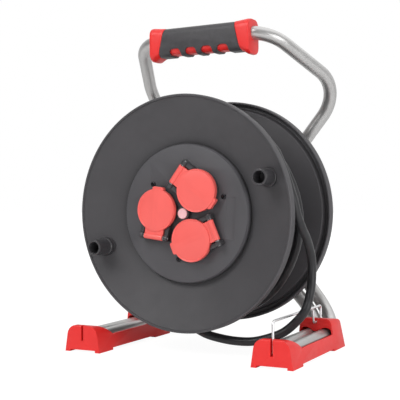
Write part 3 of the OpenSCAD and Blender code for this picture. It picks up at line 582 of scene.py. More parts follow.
def rubber(name, colour, rough, grain=1.0):
    """Black rubber or soft grip with a matt, slightly dusty skin."""
    made, nodes, bsdf, coords, link = shader(name)
    dust = noise(nodes, link, coords, 160, 6)
    pores = noise(nodes, link, coords, 1800, 3)
    link(ramp(nodes, link, dust, shifted(colour, 0.85), shifted(colour, 1.25)), bsdf.inputs["Base Color"])
    link(ramp(nodes, link, dust, rough - 0.07, rough + 0.08), bsdf.inputs["Roughness"])
    bump(nodes, link, bsdf, [(pores, 0.0001, 0.3 * grain), (dust, 0.0002, 0.08)])
    set_inputs(bsdf, {"Specular IOR Level": 0.4, "Sheen Weight": 0.06, "Sheen Roughness": 0.5})
    return made


# Painted light and shade in rings round the drum's axis: painted shade in the gap round the socket plate,
# painted highlights on the flanges' rims and on the socket plate's front edge, and painted shade on the
# plate's outer wall
RING_REACH = 200.0
RING_SHARE = 2.5
# Painted shade: darkest behind the socket plate, lightening across the gap round it
PAINTED_GAP_SHADE = ((60, 0.15), (PLATE_R + 0.2, 0.35), (PLATE_R + 2.2, 1.0))
# Painted highlight on the flanges' rims, a little darker on the outermost edge
PAINTED_RIM_HIGHLIGHT = (
    (FLANGE_R - 1.0, 1.0), (FLANGE_R - 0.7, 1.7), (FLANGE_R - 0.2, 1.7), (FLANGE_R - 0.05, 0.85))
# Painted highlight on the socket plate's front edge, then painted shade on its outer wall
PAINTED_PLATE_EDGE_LIGHT_AND_SHADE = (
    (PLATE_R - 1.3, 1.0), (PLATE_R - 1.0, 1.5), (PLATE_R - 0.5, 1.5), (PLATE_R - 0.3, 0.15))

MATERIALS = {}


def finishes():
    """What makes each of the reel's finishes, and the values that it takes."""
    s = bpy.context.scene.reel_finish
    red, lid_red, black, plate, cable, button, steel = (
        setting[:] for setting in (s.red, s.lid_red, s.black, s.plate, s.cable, s.button, s.steel))
    return {
        "frame_steel": (galvanised, "Galvanised tube", steel, 0.34),
        "spring_steel": (bright_metal, "Spring steel", (0.42, 0.42, 0.43), 0.3),
        "dark_screw": (bright_metal, "Blackened screw", (0.05, 0.05, 0.055), 0.35),
        "zinc_steel": (bright_metal, "Plated steel", (0.86, 0.86, 0.87), 0.30),
        "contact_brass": (bright_metal, "Contact brass", (0.78, 0.58, 0.28), 0.25),
        "grip_rubber": (rubber, "Grip rubber", shifted(black, 0.9), 0.5, 1.4),
        "cable_rubber": (rubber, "Cable sheath", cable, 0.38),
        "red_plastic": (moulded_plastic, "Red plastic", red, 0.40, 0.7, 0.04),
        "lid_plastic": (moulded_plastic, "Lid plastic", lid_red, 0.37, 0.7, 0.04),
        # Painted highlight on the rim, at the flanges' outer radius
        "drum_plastic": (moulded_plastic, "Drum plastic", black, 0.55, 1.3, 0.06, 0, PAINTED_RIM_HIGHLIGHT),
        # Painted shade in the gap round the socket plate, and a painted highlight on the rim
        "front_plastic": (
            moulded_plastic, "Front flange plastic", black, 0.55, 1.3, 0.06, 0, PAINTED_GAP_SHADE + PAINTED_RIM_HIGHLIGHT),
        # Painted highlight on the socket plate's front edge and painted shade on its outer wall
        "plate_plastic": (moulded_plastic, "Plate plastic", plate, 0.50, 1.2, 0.06, 0, PAINTED_PLATE_EDGE_LIGHT_AND_SHADE),
        "knob_plastic": (moulded_plastic, "Knob plastic", shifted(black, 0.85), 0.33, 0.8),
        "button_plastic": (moulded_plastic, "Button cap", button, 0.25, 0.3, 0.05, 0.4),
        "bush_plastic": (moulded_plastic, "Bush plastic", (0.75, 0.72, 0.64), 0.4),
        "housing_plastic": (moulded_plastic, "Bracket plastic", shifted(black, 0.8), 0.45),
    }


def material(name):
    """One of the reel's finishes, made at its first use."""
    if name not in MATERIALS:
        make, *values = finishes()[name]
        MATERIALS[name] = make(*values)
    return MATERIALS[name]


# ---------- Settings ----------
def colour_setting(label, words, default):
    """A setting for a colour."""
    return bpy.props.FloatVectorProperty(
        name=label, description=words, subtype="COLOR", size=3, min=0, max=1, default=default)


def edge_setting(label, words, default):
    """A setting for a rounding, with its default in millimetres."""
    return bpy.props.FloatProperty(
        name=label, description=words, default=default * MM, min=0.1 * MM, max=2 * MM, unit="LENGTH")


class ReelFinish(bpy.types.PropertyGroup):
    """Colours of the reel's finishes."""
    red: colour_setting("Feet and handle", "Red of the feet and the handle's caps", (0.72, 0.022, 0.020))
    lid_red: colour_setting("Lids", "Red of the socket lids", (0.80, 0.115, 0.10))
    black: colour_setting("Drum", "Dark grey of the drum's flanges", (0.050, 0.048, 0.052))
    plate: colour_setting("Socket plate", "Dark grey of the socket plate", (0.066, 0.064, 0.070))
    cable: colour_setting("Cable", "Black of the cable's sheath", (0.015, 0.015, 0.017))
    button: colour_setting("Reset button", "Pink of the reset button", (0.80, 0.48, 0.50))
    steel: colour_setting("Frame tube", "Zinc grey of the frame's tubes", (0.49, 0.485, 0.48))
    floor: colour_setting("Floor", "Colour of the studio floor", (0.92, 0.92, 0.92))


class ReelSizes(bpy.types.PropertyGroup):
    """Roundings of the moulded edges, and the camera's lens."""
    foot_edge: edge_setting("Feet's edges", "Rounding of the feet's edges", 1.1)
    handle_edge: edge_setting("Handle's edges", "Rounding of the handle's red edges", 0.8)
    lid_edge: edge_setting("Lids' edges", "Rounding of the socket lids' edges", 0.6)
    lens: bpy.props.FloatProperty(
        name="Lens", description="Focal length of the camera", default=80.3, min=20, max=300)


def edge(piece):
    """The rounding set for a kind of piece, in millimetres."""
    return getattr(bpy.context.scene.reel_sizes, piece + "_edge") / MM


# ---------- Camera and stage ----------
CAMERA_PLACE = Vector((529.4, -1024.1, 201.2))
CAMERA_AZIMUTH = 28.12
CAMERA_ELEVATION = 0.63
CAMERA_ROLL = -0.69
SENSOR_WIDTH = 36
FLOOR_HALF = 6.0
FLOOR_GLOW = 1.12
LAMP_TARGET = Vector((0, 0.03, 0.18))
LAMPS = (
    # name, place, size, power
    ("Key", (-0.6, -1.6, 1.5), 1.1, 23),
    ("Fill", (1.7, -0.9, 0.35), 1.3, 18),
    ("Top", (0.3, 0.5, 1.7), 2.4, 12),
)


def make_camera():
    """The camera, turned by its azimuth, elevation and roll."""
    a, e, r = (math.radians(v) for v in (CAMERA_AZIMUTH, CAMERA_ELEVATION, CAMERA_ROLL))
    forward = Vector((-math.sin(a) * math.cos(e), math.cos(a) * math.cos(e), -math.sin(e)))
    right = Vector((math.cos(a), math.sin(a), 0))
    up = right.cross(forward)
    right_turned = math.cos(r) * right + math.sin(r) * up
    up_turned = -math.sin(r) * right + math.cos(r) * up
    data = bpy.data.cameras.new("Camera")
    data.lens = bpy.context.scene.reel_sizes.lens
    data.sensor_width = SENSOR_WIDTH
    camera = linked("Camera", data)
    turn = Matrix((right_turned, up_turned, -forward)).transposed().to_4x4()
    camera.matrix_world = Matrix.Translation(CAMERA_PLACE * MM) @ turn
    bpy.context.scene.camera = camera


def backdrop_material():
    """A pale floor that glows nearly white to the camera and keeps the shadow near the reel."""
    made, nodes, bsdf, coords, link = shader("Studio floor")
    set_inputs(bsdf, {"Base Color": (*bpy.context.scene.reel_finish.floor[:], 1), "Roughness": 0.9})
    light_path = nodes.new("ShaderNodeLightPath")
    glow = nodes.new("ShaderNodeEmission")
    set_inputs(glow, {"Strength": FLOOR_GLOW})
    far = worker(nodes, "ShaderNodeVectorMath", "LENGTH")
    share = worker(nodes, "ShaderNodeMath", "MULTIPLY")
    mix = nodes.new("ShaderNodeMixShader")
    link(coords, far.inputs[0])
    link(light_path.outputs["Is Camera Ray"], share.inputs[0])
    link(mapped(nodes, link, far.outputs["Value"], (0.35, 1.3), (0.84, 1.0)), share.inputs[1])
    link(share.outputs[0], mix.inputs["Fac"])
    link(bsdf.outputs["BSDF"], mix.inputs[1])
    link(glow.outputs["Emission"], mix.inputs[2])
    link(mix.outputs["Shader"], nodes["Material Output"].inputs["Surface"])
    return made


def make_world():
    """A studio that is white to the camera, and brightest from behind and above where it mirrors."""
    world = bpy.data.worlds.new("Studio")
    bpy.context.scene.world = world
    world.use_nodes = True
    nodes, link = world.node_tree.nodes, world.node_tree.links.new
    nodes.clear()
    dim, bright, mirrored = (nodes.new("ShaderNodeBackground") for _ in range(3))
    for shade, strength in ((dim, 0.50), (bright, 1.0), (mirrored, 1.0)):
        set_inputs(shade, {"Color": (1, 1, 1, 1), "Strength": strength})
    split = nodes.new("ShaderNodeSeparateXYZ")
    link(nodes.new("ShaderNodeTexCoord").outputs["Object"], split.inputs[0])
    brighter = worker(nodes, "ShaderNodeMath", "MAXIMUM")
    link(mapped(nodes, link, split.outputs["Y"], (-0.5, 0.6), (0.06, 0.85)), brighter.inputs[0])
    link(mapped(nodes, link, split.outputs["Z"], (0.55, 0.9), (0.0, 0.85)), brighter.inputs[1])
    link(brighter.outputs[0], mirrored.inputs["Strength"])
    path = nodes.new("ShaderNodeLightPath")
    seen = worker(nodes, "ShaderNodeMath", "MAXIMUM")
    link(path.outputs["Is Camera Ray"], seen.inputs[0])
    link(path.outputs["Is Transmission Ray"], seen.inputs[1])
    lit, mix = (nodes.new("ShaderNodeMixShader") for _ in range(2))
    link(path.outputs["Is Glossy Ray"], lit.inputs["Fac"])
    link(dim.outputs[0], lit.inputs[1])
    link(mirrored.outputs[0], lit.inputs[2])
    link(seen.outputs[0], mix.inputs["Fac"])
    link(lit.outputs[0], mix.inputs[1])
    link(bright.outputs[0], mix.inputs[2])
    link(mix.outputs[0], nodes.new("ShaderNodeOutputWorld").inputs["Surface"])


def make_lamps():
    """The lamps, each one turned towards the reel's middle."""
    for name, place, size, power in LAMPS:
        data = bpy.data.lights.new(name, "AREA")
        data.size = size
        data.energy = power
        lamp = linked(name, data)
        lamp.location = place
        lamp.rotation_mode = "QUATERNION"
        lamp.rotation_quaternion = (Vector(place) - LAMP_TARGET).to_track_quat("Z", "Y")


class ReelStage(bpy.types.Operator):
    """Makes the camera, the pale floor, the world and the lamps."""
    bl_idname = "reel.stage"
    bl_label = "Stage"

    def execute(self, context):
        context.scene.view_settings.view_transform = "Standard"
        make_camera()
        make_world()
        make_lamps()
        mesh = bpy.data.meshes.new("Floor")
        corners = [(x * FLOOR_HALF, y * FLOOR_HALF, 0) for x, y in ((-1, -1), (1, -1), (1, 1), (-1, 1))]
        mesh.from_pydata(corners, [], [(0, 1, 2, 3)])
        mesh.materials.append(backdrop_material())
        linked("Floor", mesh)
        return {"FINISHED"}


# ---------- Cable ----------
FLANGE_WALL = 3.0
JOIN_ANGLE = 40.0
LAYER_R = 100.0
LAYER_Y = DISH_DEPTH + FLANGE_WALL + 2
LAYER_PITCH = 11.5
LAYER_LOOPS = 8.25
DIVE_FROM = 505.0
DIVE_R = 12.0
DIVE_STEPS = 12
DIVE_GAP = 0.35
SINK = 9.0
SINK_TURN = 45.0
EASING = 12.0
# The loose turn's radius and its depth behind the front rim, by the angle round the drum's axis
LOOSE_R = (
    (JOIN_ANGLE, 137), (90, 136), (180, 134), (294, 131.5), (350, 129.5), (370, 129.5), (402, 128),
    (450, 123.5), (492, 119.5), (DIVE_FROM, 118.5),
)
LOOSE_Y = (
    (JOIN_ANGLE, 20), (70, 29), (180, 52), (270, 78), (294, 83), (310, 80), (322, 73), (346, 67),
    (358, 65), (367, 56), (382, 48), (402, 38), (450, 31), (492, 27.5), (DIVE_FROM, 27),
)
# The free tail's way down and round to the plug, with y behind the front rim
TAIL_POINTS = (
    (130, 18, 220), (137, 17.5, 199), (140.5, 18, 188), (143, 21, 172), (146, 28, 156), (147, 38, 145),
    (147.2, 48, 132), (147.5, 55, 115), (147, 55, 92.5), (146.5, 50, 76.5), (144.5, 42, 60),
    (134, 41, 46), (119, 38, 32.5), (103, 33, 25.2), (82, 28, 19.8), (59, 27, 19), (37, 28, 20.9),
    (17, 33, 23.5), (0, 43, 26.5), (-12, 57, 26.5), (-20, 75, 25), (-26, 97, 22), (-33, 120, 18),
    (-40, 143, 14), (-46, 163, 10.5), (-54, 180, 9), (-64, 193, 10), (-75, 203, 13), (-85, 210, 16),
    (-94, 212, 19), (-104.5, 212, 19),
)


def looked_up(table, a):
    """A value from a table of (angle, value), straight between the entries."""
    if a <= table[0][0]:
        return table[0][1]
    for (a0, v0), (a1, v1) in zip(table, table[1:]):
        if a <= a1:
            return v0 + (v1 - v0) * (a - a0) / (a1 - a0)
    return table[-1][1]


def eased(table, a):
    """A value from a table, averaged over its neighbourhood."""
    return (looked_up(table, a - EASING) + 2 * looked_up(table, a) + looked_up(table, a + EASING)) / 4


def polar(r, y, a):
    """A point at an angle and radius round the drum's axis, y behind the front rim."""
    t = math.radians(a)
    return Vector((r * math.cos(t), FRONT_Y + y, AXLE_Z + r * math.sin(t)))


def layer_path(step=5.0):
    """The tight layer of loops on the drum."""
    full = 360 * LAYER_LOOPS
    path = []
    for k in range(int(full / step) + 1):
        a = step * k
        r = LAYER_R - SINK * max(0, a - (full - SINK_TURN)) / SINK_TURN
        path.append(polar(r, LAYER_Y + LAYER_PITCH * a / 360, DIVE_FROM + a))
    return path


def loose_path(step=5.0):
    """The loose turn round the layer, from its dive between the loops out to the free cable."""
    r, y = eased(LOOSE_R, DIVE_FROM), eased(LOOSE_Y, DIVE_FROM)
    angle = DIVE_FROM + math.degrees(math.asin(DIVE_R / (r - DIVE_R)))
    path = [polar(LAYER_R + CABLE_R + DIVE_GAP, y, angle)]
    for k in range(DIVE_STEPS, 0, -1):
        f = math.radians(90 * k / DIVE_STEPS)
        angle = DIVE_FROM + math.degrees(math.asin(DIVE_R * math.sin(f) / r))
        path.append(polar(r - DIVE_R * (1 - math.cos(f)), y, angle))
    for k in range(int((DIVE_FROM - JOIN_ANGLE) / step), -1, -1):
        a = JOIN_ANGLE + step * k
        path.append(polar(eased(LOOSE_R, a), eased(LOOSE_Y, a), a))
    return path


def free_path():
    """The free cable's centre line, from the layer round the drum and down to the plug, in metres."""
    t = math.radians(JOIN_ANGLE)
    onward = Vector((math.sin(t), -0.05, -math.cos(t))).normalized() * 2 * CABLE_R
    turn = loose_path()
    start = turn[-1] + onward
    points = [start + onward] + [Vector((x, y + FRONT_Y, z)) for x, y, z in TAIL_POINTS]
    return real(turn + [start] + smooth_path(points, 6))


class ReelCable(bpy.types.Operator):
    """Makes the wound cable, the free cable, the plug and its strain relief."""
    bl_idname = "reel.cable"
    bl_label = "Cable"

    def execute(self, context):
        sheath = material("cable_rubber")
        path = free_path()
        free = curve_object("cable_free", path, CABLE_R * MM)
        free.data.materials.append(sheath)
        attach(free, "frame")
        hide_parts("cord_tail", "cord_loose")
        plug = plug_body()
        relief = plug_relief()
        mesh = tube_mesh("cable_on_drum", real(layer_path()), CABLE_R * MM, sheath, 16)
        new_piece("cable_on_drum", mesh, "drum", "cable_rubber", ["cord_winding"], sharp=60)
        return {"FINISHED"}


RELIEF_LEN = span("plug_relief", 0)
RELIEF_RIBS = 8
RELIEF_LOW_R = CABLE_R + 1.2
RELIEF_FLARE = 2.4
SLOT_DEPTH = 1.0
PLUG_LEN = span("plug_body", 0)
PLUG_R = 18.8
PLUG_FACE = PLUG_LEN - 0.3
PLUG_RIBS = 14
RIB_R = 12.2


def at_plug(offset=0.0):
    """Places what is drawn along +Z from the cable's end towards the plug's pins."""
    start = Vector((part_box("plug_relief")[1].x, middle("plug_relief").y, middle("plug_relief").z))
    turn = Matrix.Rotation(-math.pi / 2, 4, "Y")
    return Matrix.Translation(start) @ turn @ Matrix.Translation(Vector((0, 0, offset * MM)))


def plug_relief():
    """Tapered strain relief, cut by rings of slots as moulded ones are."""
    outline = [(0, 0), (CABLE_R + 0.6, 0)]
    for k in range(RELIEF_RIBS):
        low, high = RELIEF_LEN * k / RELIEF_RIBS, RELIEF_LEN * (k + 1) / RELIEF_RIBS
        r = RELIEF_LOW_R + RELIEF_FLARE * (k + 0.5) / RELIEF_RIBS
        waist = r - SLOT_DEPTH if k < RELIEF_RIBS - 1 else r
        outline += [(r, low + 0.4), (r, high - 1.4), (waist, high - 1.2), (waist, high - 0.2)]
    outline += [(CABLE_R + 3.4, RELIEF_LEN), (0, RELIEF_LEN)]
    mesh = lathe_mesh("plug_strain_relief", outline, at_plug(), 48)
    return new_piece("plug_strain_relief", mesh, "frame", "cable_rubber", ["plug_relief"])


def plug_body():
    """Round rubber plug with grip ribs behind its face."""
    outline = rounded(
        [(0, 0), (9.5, 0), (12.5, 4), (15, 21), (17, 27.5), (PLUG_R, 30.5),
         (PLUG_R, PLUG_FACE), (0, PLUG_FACE)],
        [0, 1.5, 2, 4, 4, 1.5, 1.2, 0], 4)
    body = lathe_mesh("plug", outline, at_plug(RELIEF_LEN), 72)
    rib = prism_mesh("plug_rib", rounded_box((-0.8, 0), (0.8, 2.4), 0.5, 3), 4, 24)
    rib.transform(Matrix.Rotation(-math.pi / 2, 4, "Z"))
    ribs = ring_mesh("plug_ribs", rib, material("cable_rubber"), at_plug(RELIEF_LEN),
                     Count=PLUG_RIBS, Radius=RIB_R * MM, Start=0.0, Step=TURN / PLUG_RIBS)
    return new_piece("plug_shell", joined("plug_shell", [body, ribs]), "frame", "cable_rubber", ["plug_body"])


# ---------- Frame ----------
FRAME_Y = 180.0
FOOT_X = 129.0
TUBE_PITCH = 18.5
TUBE_Z = 17.0
TUBE_FRONT = -18.0
WAIST = (18.0, FRAME_Y, 175.0)
KNEE = (144.0, FRAME_Y, 331.0)
SHOULDER = (91.0, 65.0, 395.0)
BEND, TIGHT_BEND = 50.0, 45.0
BEND_STEPS = 18
LOW_Y = FRAME_Y - 4
APEX_Z = 150.0


def both_sides(half):
    """Corner points on the right and their mirror images, in the frame's millimetres."""
    mirrored = [(-x, y, z) for x, y, z in reversed(half)]
    return [Vector((x, y + FRONT_Y, z)) for x, y, z in half + mirrored]


def bow_path():
    """The tube that runs up from both feet and over the handle."""
    x = FOOT_X + TUBE_PITCH / 2
    half = [(x, TUBE_FRONT, TUBE_Z), (x, FRAME_Y, TUBE_Z), WAIST, KNEE, SHOULDER]
    bends = [BEND, TIGHT_BEND, BEND, TIGHT_BEND]
    return bent_path(both_sides(half), bends + bends[::-1], BEND_STEPS)


def low_path():
    """The tube that joins both feet behind the drum."""
    x = FOOT_X - TUBE_PITCH / 2
    corners = both_sides([(x, TUBE_FRONT, TUBE_Z), (x, LOW_Y, TUBE_Z)])
    corners.insert(2, Vector((0, LOW_Y + FRONT_Y, APEX_Z)))
    return bent_path(corners, [BEND, TIGHT_BEND, BEND], BEND_STEPS)


def tube_part(name, path, radius, finish, sides, node):
    """A piece of the frame that is a round bar along a path in millimetres."""
    mesh = tube_mesh(name, real(path), radius * MM, material(finish), sides)
    new_piece(name, mesh, "frame", finish, [node], sharp=60)


class ReelFrame(bpy.types.Operator):
    """Makes the two bent tubes and the wire guide."""
    bl_idname = "reel.frame"
    bl_label = "Tube frame"

    def execute(self, context):
        tube_part("frame_tube", bow_path(), TUBE_R, "frame_steel", 48, "frame_bow")
        tube_part("lower_tube", low_path(), TUBE_R, "frame_steel", 48, "lower_bow")
        tube_part("guide_wire", guide_path(), GUIDE_R, "zinc_steel", 16, "cable_guide")
        return {"FINISHED"}


# ---------- Feet ----------
GUIDE_R = 1.4
GUIDE_TOP = 53.0
FOOT_FRONT = -25.0
FOOT_BACK = 150.0
FOOT_H = 33.4
FOOT_HALF = span("foot_right", 0) / 2
FOOT_TAPER = 0.16
FOOT_BELOW = 2.0
FRONT_CAP_R = 13.4
REAR_CAP_R = 10.0
REAR_CAP = 110.0
REAR_CAP_H = 39.0
HOOD = REAR_CAP + 3.5
HOOD_R = 7.0
RAIL_H = 19.8
RAIL_W = 5.5
RECESS_H = 2.7
SLOT_HALF = 1.6
# Places behind the front cap's face and how far its top has come down there
HUMP = ((5, 0.3), (10, 0.8), (16, 2.6), (23, 5.9), (31, 10.9), (36.5, 14.0), (42, FOOT_H - RAIL_H))
# The rear cap's face up from the rails, as (y, z)
RISE = (
    (HOOD - 7, RAIL_H), (HOOD - 3, RAIL_H + 2), (HOOD - 0.5, RAIL_H + 7),
    (HOOD + 0.5, REAR_CAP_H - 5), (HOOD + 2, REAR_CAP_H - 1), (HOOD + 6, REAR_CAP_H))
# Half of the rear cap's arched recess, as (x, z)
ARCH = ((4.5, 24.4), (9, 26.9), (13, 27.8), (17, 27.2), (19.6, 25.4), (20.4, 22.5), (20.4, 9))


def guide_path():
    """The wire over the right foot, from its front post to its hook in the rear cap."""
    low = REAR_CAP_H - 5.3
    points = [(-20, 17), (-20, GUIDE_TOP), (REAR_CAP + 23, GUIDE_TOP), (REAR_CAP + 21, low),
              (REAR_CAP - 2, low), (REAR_CAP - 6, GUIDE_TOP - 2 * GUIDE_R)]
    return bent_path([Vector((FOOT_X, y + FRONT_Y, z)) for y, z in points], [5, 4, 4, 4], 8)


def foot_bar(x, top, radius, low, high):
    """The foot's outer form between two depths: a bar with slanted sides and a rounded top."""
    base = FOOT_HALF + FOOT_TAPER * FOOT_BELOW
    head = FOOT_HALF - FOOT_TAPER * top
    corners = [(-base, -FOOT_BELOW), (-head, top), (head, top), (base, -FOOT_BELOW)]
    outline = rounded(corners, [0, radius, radius, 0], 9)
    return prism_mesh("bar", outline, low, high, at(x) @ SEEN_FROM_FRONT)


def foot_profile(x):
    """The foot as it is seen from the side: front cap, rails and rear cap."""
    nose = [(FOOT_FRONT, 10), (FOOT_FRONT, FOOT_H), (FOOT_FRONT + 5, FOOT_H - 0.3)]
    hump = smooth_path([(FOOT_FRONT + a, FOOT_H - b, 0) for a, b in HUMP], 5)
    rise = smooth_path([(y, z, 0) for y, z in RISE], 5)
    tail = [(REAR_CAP + 12, REAR_CAP_H - 0.4), (FOOT_BACK - 4, REAR_CAP_H - 4), (FOOT_BACK, 0)]
    outline = [(FOOT_FRONT, 0)] + rounded(nose, [0, 2.2, 0], 5)[1:]
    outline += [(p.x, p.y) for p in hump[1:] + rise]
    outline += rounded(tail, [0, 5, 0], 6)
    return prism_mesh("foot_side", outline, -FOOT_HALF - 1, FOOT_HALF + 1, at(x) @ SEEN_FROM_SIDE)


def hood_corner(x, side):
    """Cuts the rear cap's front corner on one side to a round one."""
    outer = side * (FOOT_HALF + 4)
    inner = FOOT_HALF - HOOD_R
    outline = [(outer, HOOD + HOOD_R)]
    for k in range(8, -1, -1):
        a = math.pi / 2 * k / 8
        outline.append((side * (inner + HOOD_R * math.sin(a)), HOOD + HOOD_R - HOOD_R * math.cos(a)))
    outline += [(side * inner, HOOD - 9), (outer, HOOD - 9)]
    return prism_mesh("corner", outline, RAIL_H, REAR_CAP_H + 2, at(x))


def slab(low, high):
    """A block's mesh between two corners in the frame's millimetres, y behind the front rim."""
    return prism_mesh("slab", rounded_box(low[:2], high[:2], 0), low[2], high[2], at())


def foot_mesh(x):
    """A foot: front cap, two rails and rear cap round the tubes' ends."""
    half, inner = FOOT_HALF, FOOT_HALF - RAIL_W
    centre = (FOOT_FRONT + FOOT_BACK) / 2
    arch = list(ARCH) + [(-a, b) for a, b in reversed(ARCH)] + [(0, 22.4)]
    cutters = [
        slab((x - inner, FOOT_FRONT + 30, TUBE_Z - TUBE_R), (x + inner, HOOD - 2, REAR_CAP_H + 1)),
        slab((x - half - 1, FOOT_FRONT + 31, -1), (x + half + 1, REAR_CAP, RECESS_H)),
        slab((x - half + 7, FOOT_FRONT - 1, -1), (x + half - 7, FOOT_FRONT + 32, RECESS_H)),
        slab((x - SLOT_HALF, FOOT_FRONT - 1, TUBE_Z - 3), (x + SLOT_HALF, FOOT_FRONT + 8, FOOT_H + 1)),
        slab((x - SLOT_HALF, REAR_CAP - 6, REAR_CAP_H - 6.9),
             (x + SLOT_HALF, REAR_CAP + 25, REAR_CAP_H + 1)),
        prism_mesh("opening", arch, REAR_CAP - 12, FOOT_BACK - 8, at(x) @ SEEN_FROM_FRONT),
    ]
    for path in foot_runs(x):
        cutters.append(tube_mesh("seat", real(path), (TUBE_R + 0.1) * MM, sides=48))
    for side in (-1, 1):
        cutters.append(hood_corner(x, side))
    body = boolean(foot_bar(x, FOOT_H, FRONT_CAP_R, FOOT_FRONT - 1, centre), [
        ("UNION", foot_bar(x, REAR_CAP_H, REAR_CAP_R, centre - 1, FOOT_BACK + 1)),
        ("INTERSECT", foot_profile(x)),
        *(("DIFFERENCE", cutter) for cutter in cutters)])
    return bevelled(body, edge("foot"), 3, 26)


def foot_runs(x):
    """The stretches of both tubes that lie in the foot on one side."""
    runs = []
    for path in (bow_path(), low_path()):
        side = math.copysign(1, x)
        runs.append([Vector((side * p.x, p.y, p.z)) for p in path[:BEND_STEPS]])
    return runs


class ReelFeet(bpy.types.Operator):
    """Makes the two feet with their rounded edges."""
    bl_idname = "reel.feet"
    bl_label = "Feet"

    def execute(self, context):
        for side, x in (("left", -FOOT_X), ("right", FOOT_X)):
            node = "foot_" + side
            new_piece(node + "_shell", foot_mesh(x), "frame", "red_plastic", [node], sharp=30)
        return {"FINISHED"}


# ---------- Handle ----------
HANDLE_Y, HANDLE_Z = 65.0, 395.0
GRIP_TOP, GRIP_BOTTOM = 14.2, -22.4
GRIP_DEPTH = 30.0
HOLLOW_R = 17.0
HOLLOW_DROP = 15.5
WINDOWS = (-33.75, -11.25, 11.25, 33.75)
WINDOW_HALF = 8.0
HANDLE_SCREW_X = 63.5
HANDLE_SCREW_Y = 8.5
# One handle screw, as (radius, z about the handle's middle)
HANDLE_SCREW = ((0, -20), (2.4, -20), (2.4, -18), (1.2, -18), (1.2, 6), (0, 6))
# Sections: x at the top and at the bottom, growth in depth, at the top and at the bottom, corner
GRIP_SECTIONS = (
    (-49.5, -58.0, -0.8, -0.4, -0.4, 8.6), (-49.0, -57.5, 0, 0, 0, 9),
    (49.0, 57.5, 0, 0, 0, 9), (49.5, 58.0, -0.8, -0.4, -0.4, 8.6))
CAP_SECTIONS = (
    (49.7, 58.2, -0.6, -0.3, -0.3, 8.8), (50.2, 58.7, 0.4, 0.4, 0.3, 9),
    (57.0, 61.8, 0.8, 1.0, 2.0, 9.4), (64.5, 65.5, 1.0, 1.9, 4.4, 10),
    (67.0, 67.0, 1.0, 2.2, 4.7, 10), (70.3, 70.3, 0.4, 1.9, 4.3, 10))


def inset_sections(x_top, x_bottom, wall):
    """The two end sections of a body that lies inside the grip by a wall's thickness."""
    return [(s * x_top, s * x_bottom, -2 * wall, -wall, -wall, 8) for s in (-1, 1)]


def handle_ring(work, section, side):
    """One closed ring of the handle's skin. Its top and bottom may lie at different x."""
    x_top, x_bottom, deeper, higher, lower, corner = section
    half = (GRIP_DEPTH + deeper) / 2
    ring = []
    for y, z in rounded_box((-half, GRIP_BOTTOM - lower), (half, GRIP_TOP + higher), corner, 8):
        share = min(1.0, max(0.0, (z - GRIP_BOTTOM) / (GRIP_TOP - GRIP_BOTTOM)))
        x = side * (x_bottom + (x_top - x_bottom) * share)
        ring.append(work.verts.new(at(x, y + HANDLE_Y, z + HANDLE_Z).translation))
    return ring


def loft(name, sections, side=1):
    """A closed mesh through handle sections, on the right (1) or mirrored to the left (-1)."""
    work = bmesh.new()
    rings = [handle_ring(work, section, side) for section in sections]
    for here, there in zip(rings, rings[1:]):
        for i, j in edges_round(here):
            work.faces.new([here[i], here[j], there[j], there[i]])
    work.faces.new(rings[0])
    work.faces.new(rings[-1])
    return mesh_from(name, work)


def across(name, outline):
    """A prism on an outline of (x, z) about the handle's middle, right through its depth."""
    place = at(0, HANDLE_Y, HANDLE_Z) @ SEEN_FROM_FRONT
    return prism_mesh(name, outline, -GRIP_DEPTH, GRIP_DEPTH, place)


def hollows(extra):
    """Cutters for the fingers' hollows under the handle."""
    angles = [TURN * k / 48 for k in range(48)]
    z = GRIP_BOTTOM - HOLLOW_DROP + extra
    return [across("hollow", [(c + HOLLOW_R * math.cos(a), z + HOLLOW_R * math.sin(a)) for a in angles])
            for c in WINDOWS]


def windows():
    """Cutters for the openings in the rubber over the fingers' hollows."""
    low, high = GRIP_BOTTOM - 6, GRIP_BOTTOM + 9.5
    return [across("window", rounded_box((c - WINDOW_HALF, low), (c + WINDOW_HALF, high), 5.5, 7))
            for c in WINDOWS]


class ReelHandle(bpy.types.Operator):
    """Makes the handle's red shells, its black grip and its screws."""
    bl_idname = "reel.handle"
    bl_label = "Handle"

    def execute(self, context):
        inside = loft("grip_hole", inset_sections(60, 70, 2))
        grip = cut(loft("grip", GRIP_SECTIONS), [inside] + hollows(-2) + windows())
        new_piece("grip_skin", bevelled(grip, 0.45, 2, 35), "frame", "grip_rubber",
                  ["grip_upper", "grip_lower"], sharp=32)
        core = cut(loft("core", inset_sections(60, 60, 2.05)), hollows(0))
        shells, screws = [bevelled(core, edge("handle"), 3, 35)], bmesh.new()
        for side in (-1, 1):
            bore = tube_mesh("bore", real(bow_path()), (TUBE_R + 0.15) * MM, sides=48)
            shells.append(cut(bevelled(loft("cap", CAP_SECTIONS, side), edge("handle")), [bore]))
            for y in (HANDLE_Y - HANDLE_SCREW_Y, HANDLE_Y + HANDLE_SCREW_Y):
                add_lathe(screws, HANDLE_SCREW, at(side * HANDLE_SCREW_X, y, HANDLE_Z), 24)
        new_piece("handle_screw_set", mesh_from("handle_screw_set", screws), "frame", "zinc_steel",
                  ["handle_screws"])
        new_piece("handle_shell", joined("handle_shell", shells), "frame", "red_plastic",
                  ["handle_shell_upper", "handle_shell_lower"], sharp=32)
        return {"FINISHED"}


# ---------- Drum ----------
RIM_W = 3.0
RIM_DEPTH = 11.0
DISH_R = PLATE_R + 1.6
DISH_BACK = DISH_DEPTH + FLANGE_WALL
FRONT_HOLE_R = 48.0
BOSS_R = 12.0
BOSS_BACK = -15.4
POCKET_BACK = -9.4
REAR_DISH = 13.0
REAR_DISH_R = 135.0
REAR_HOLE_R = 13.0
GROOVE_DEPTH = 8.5


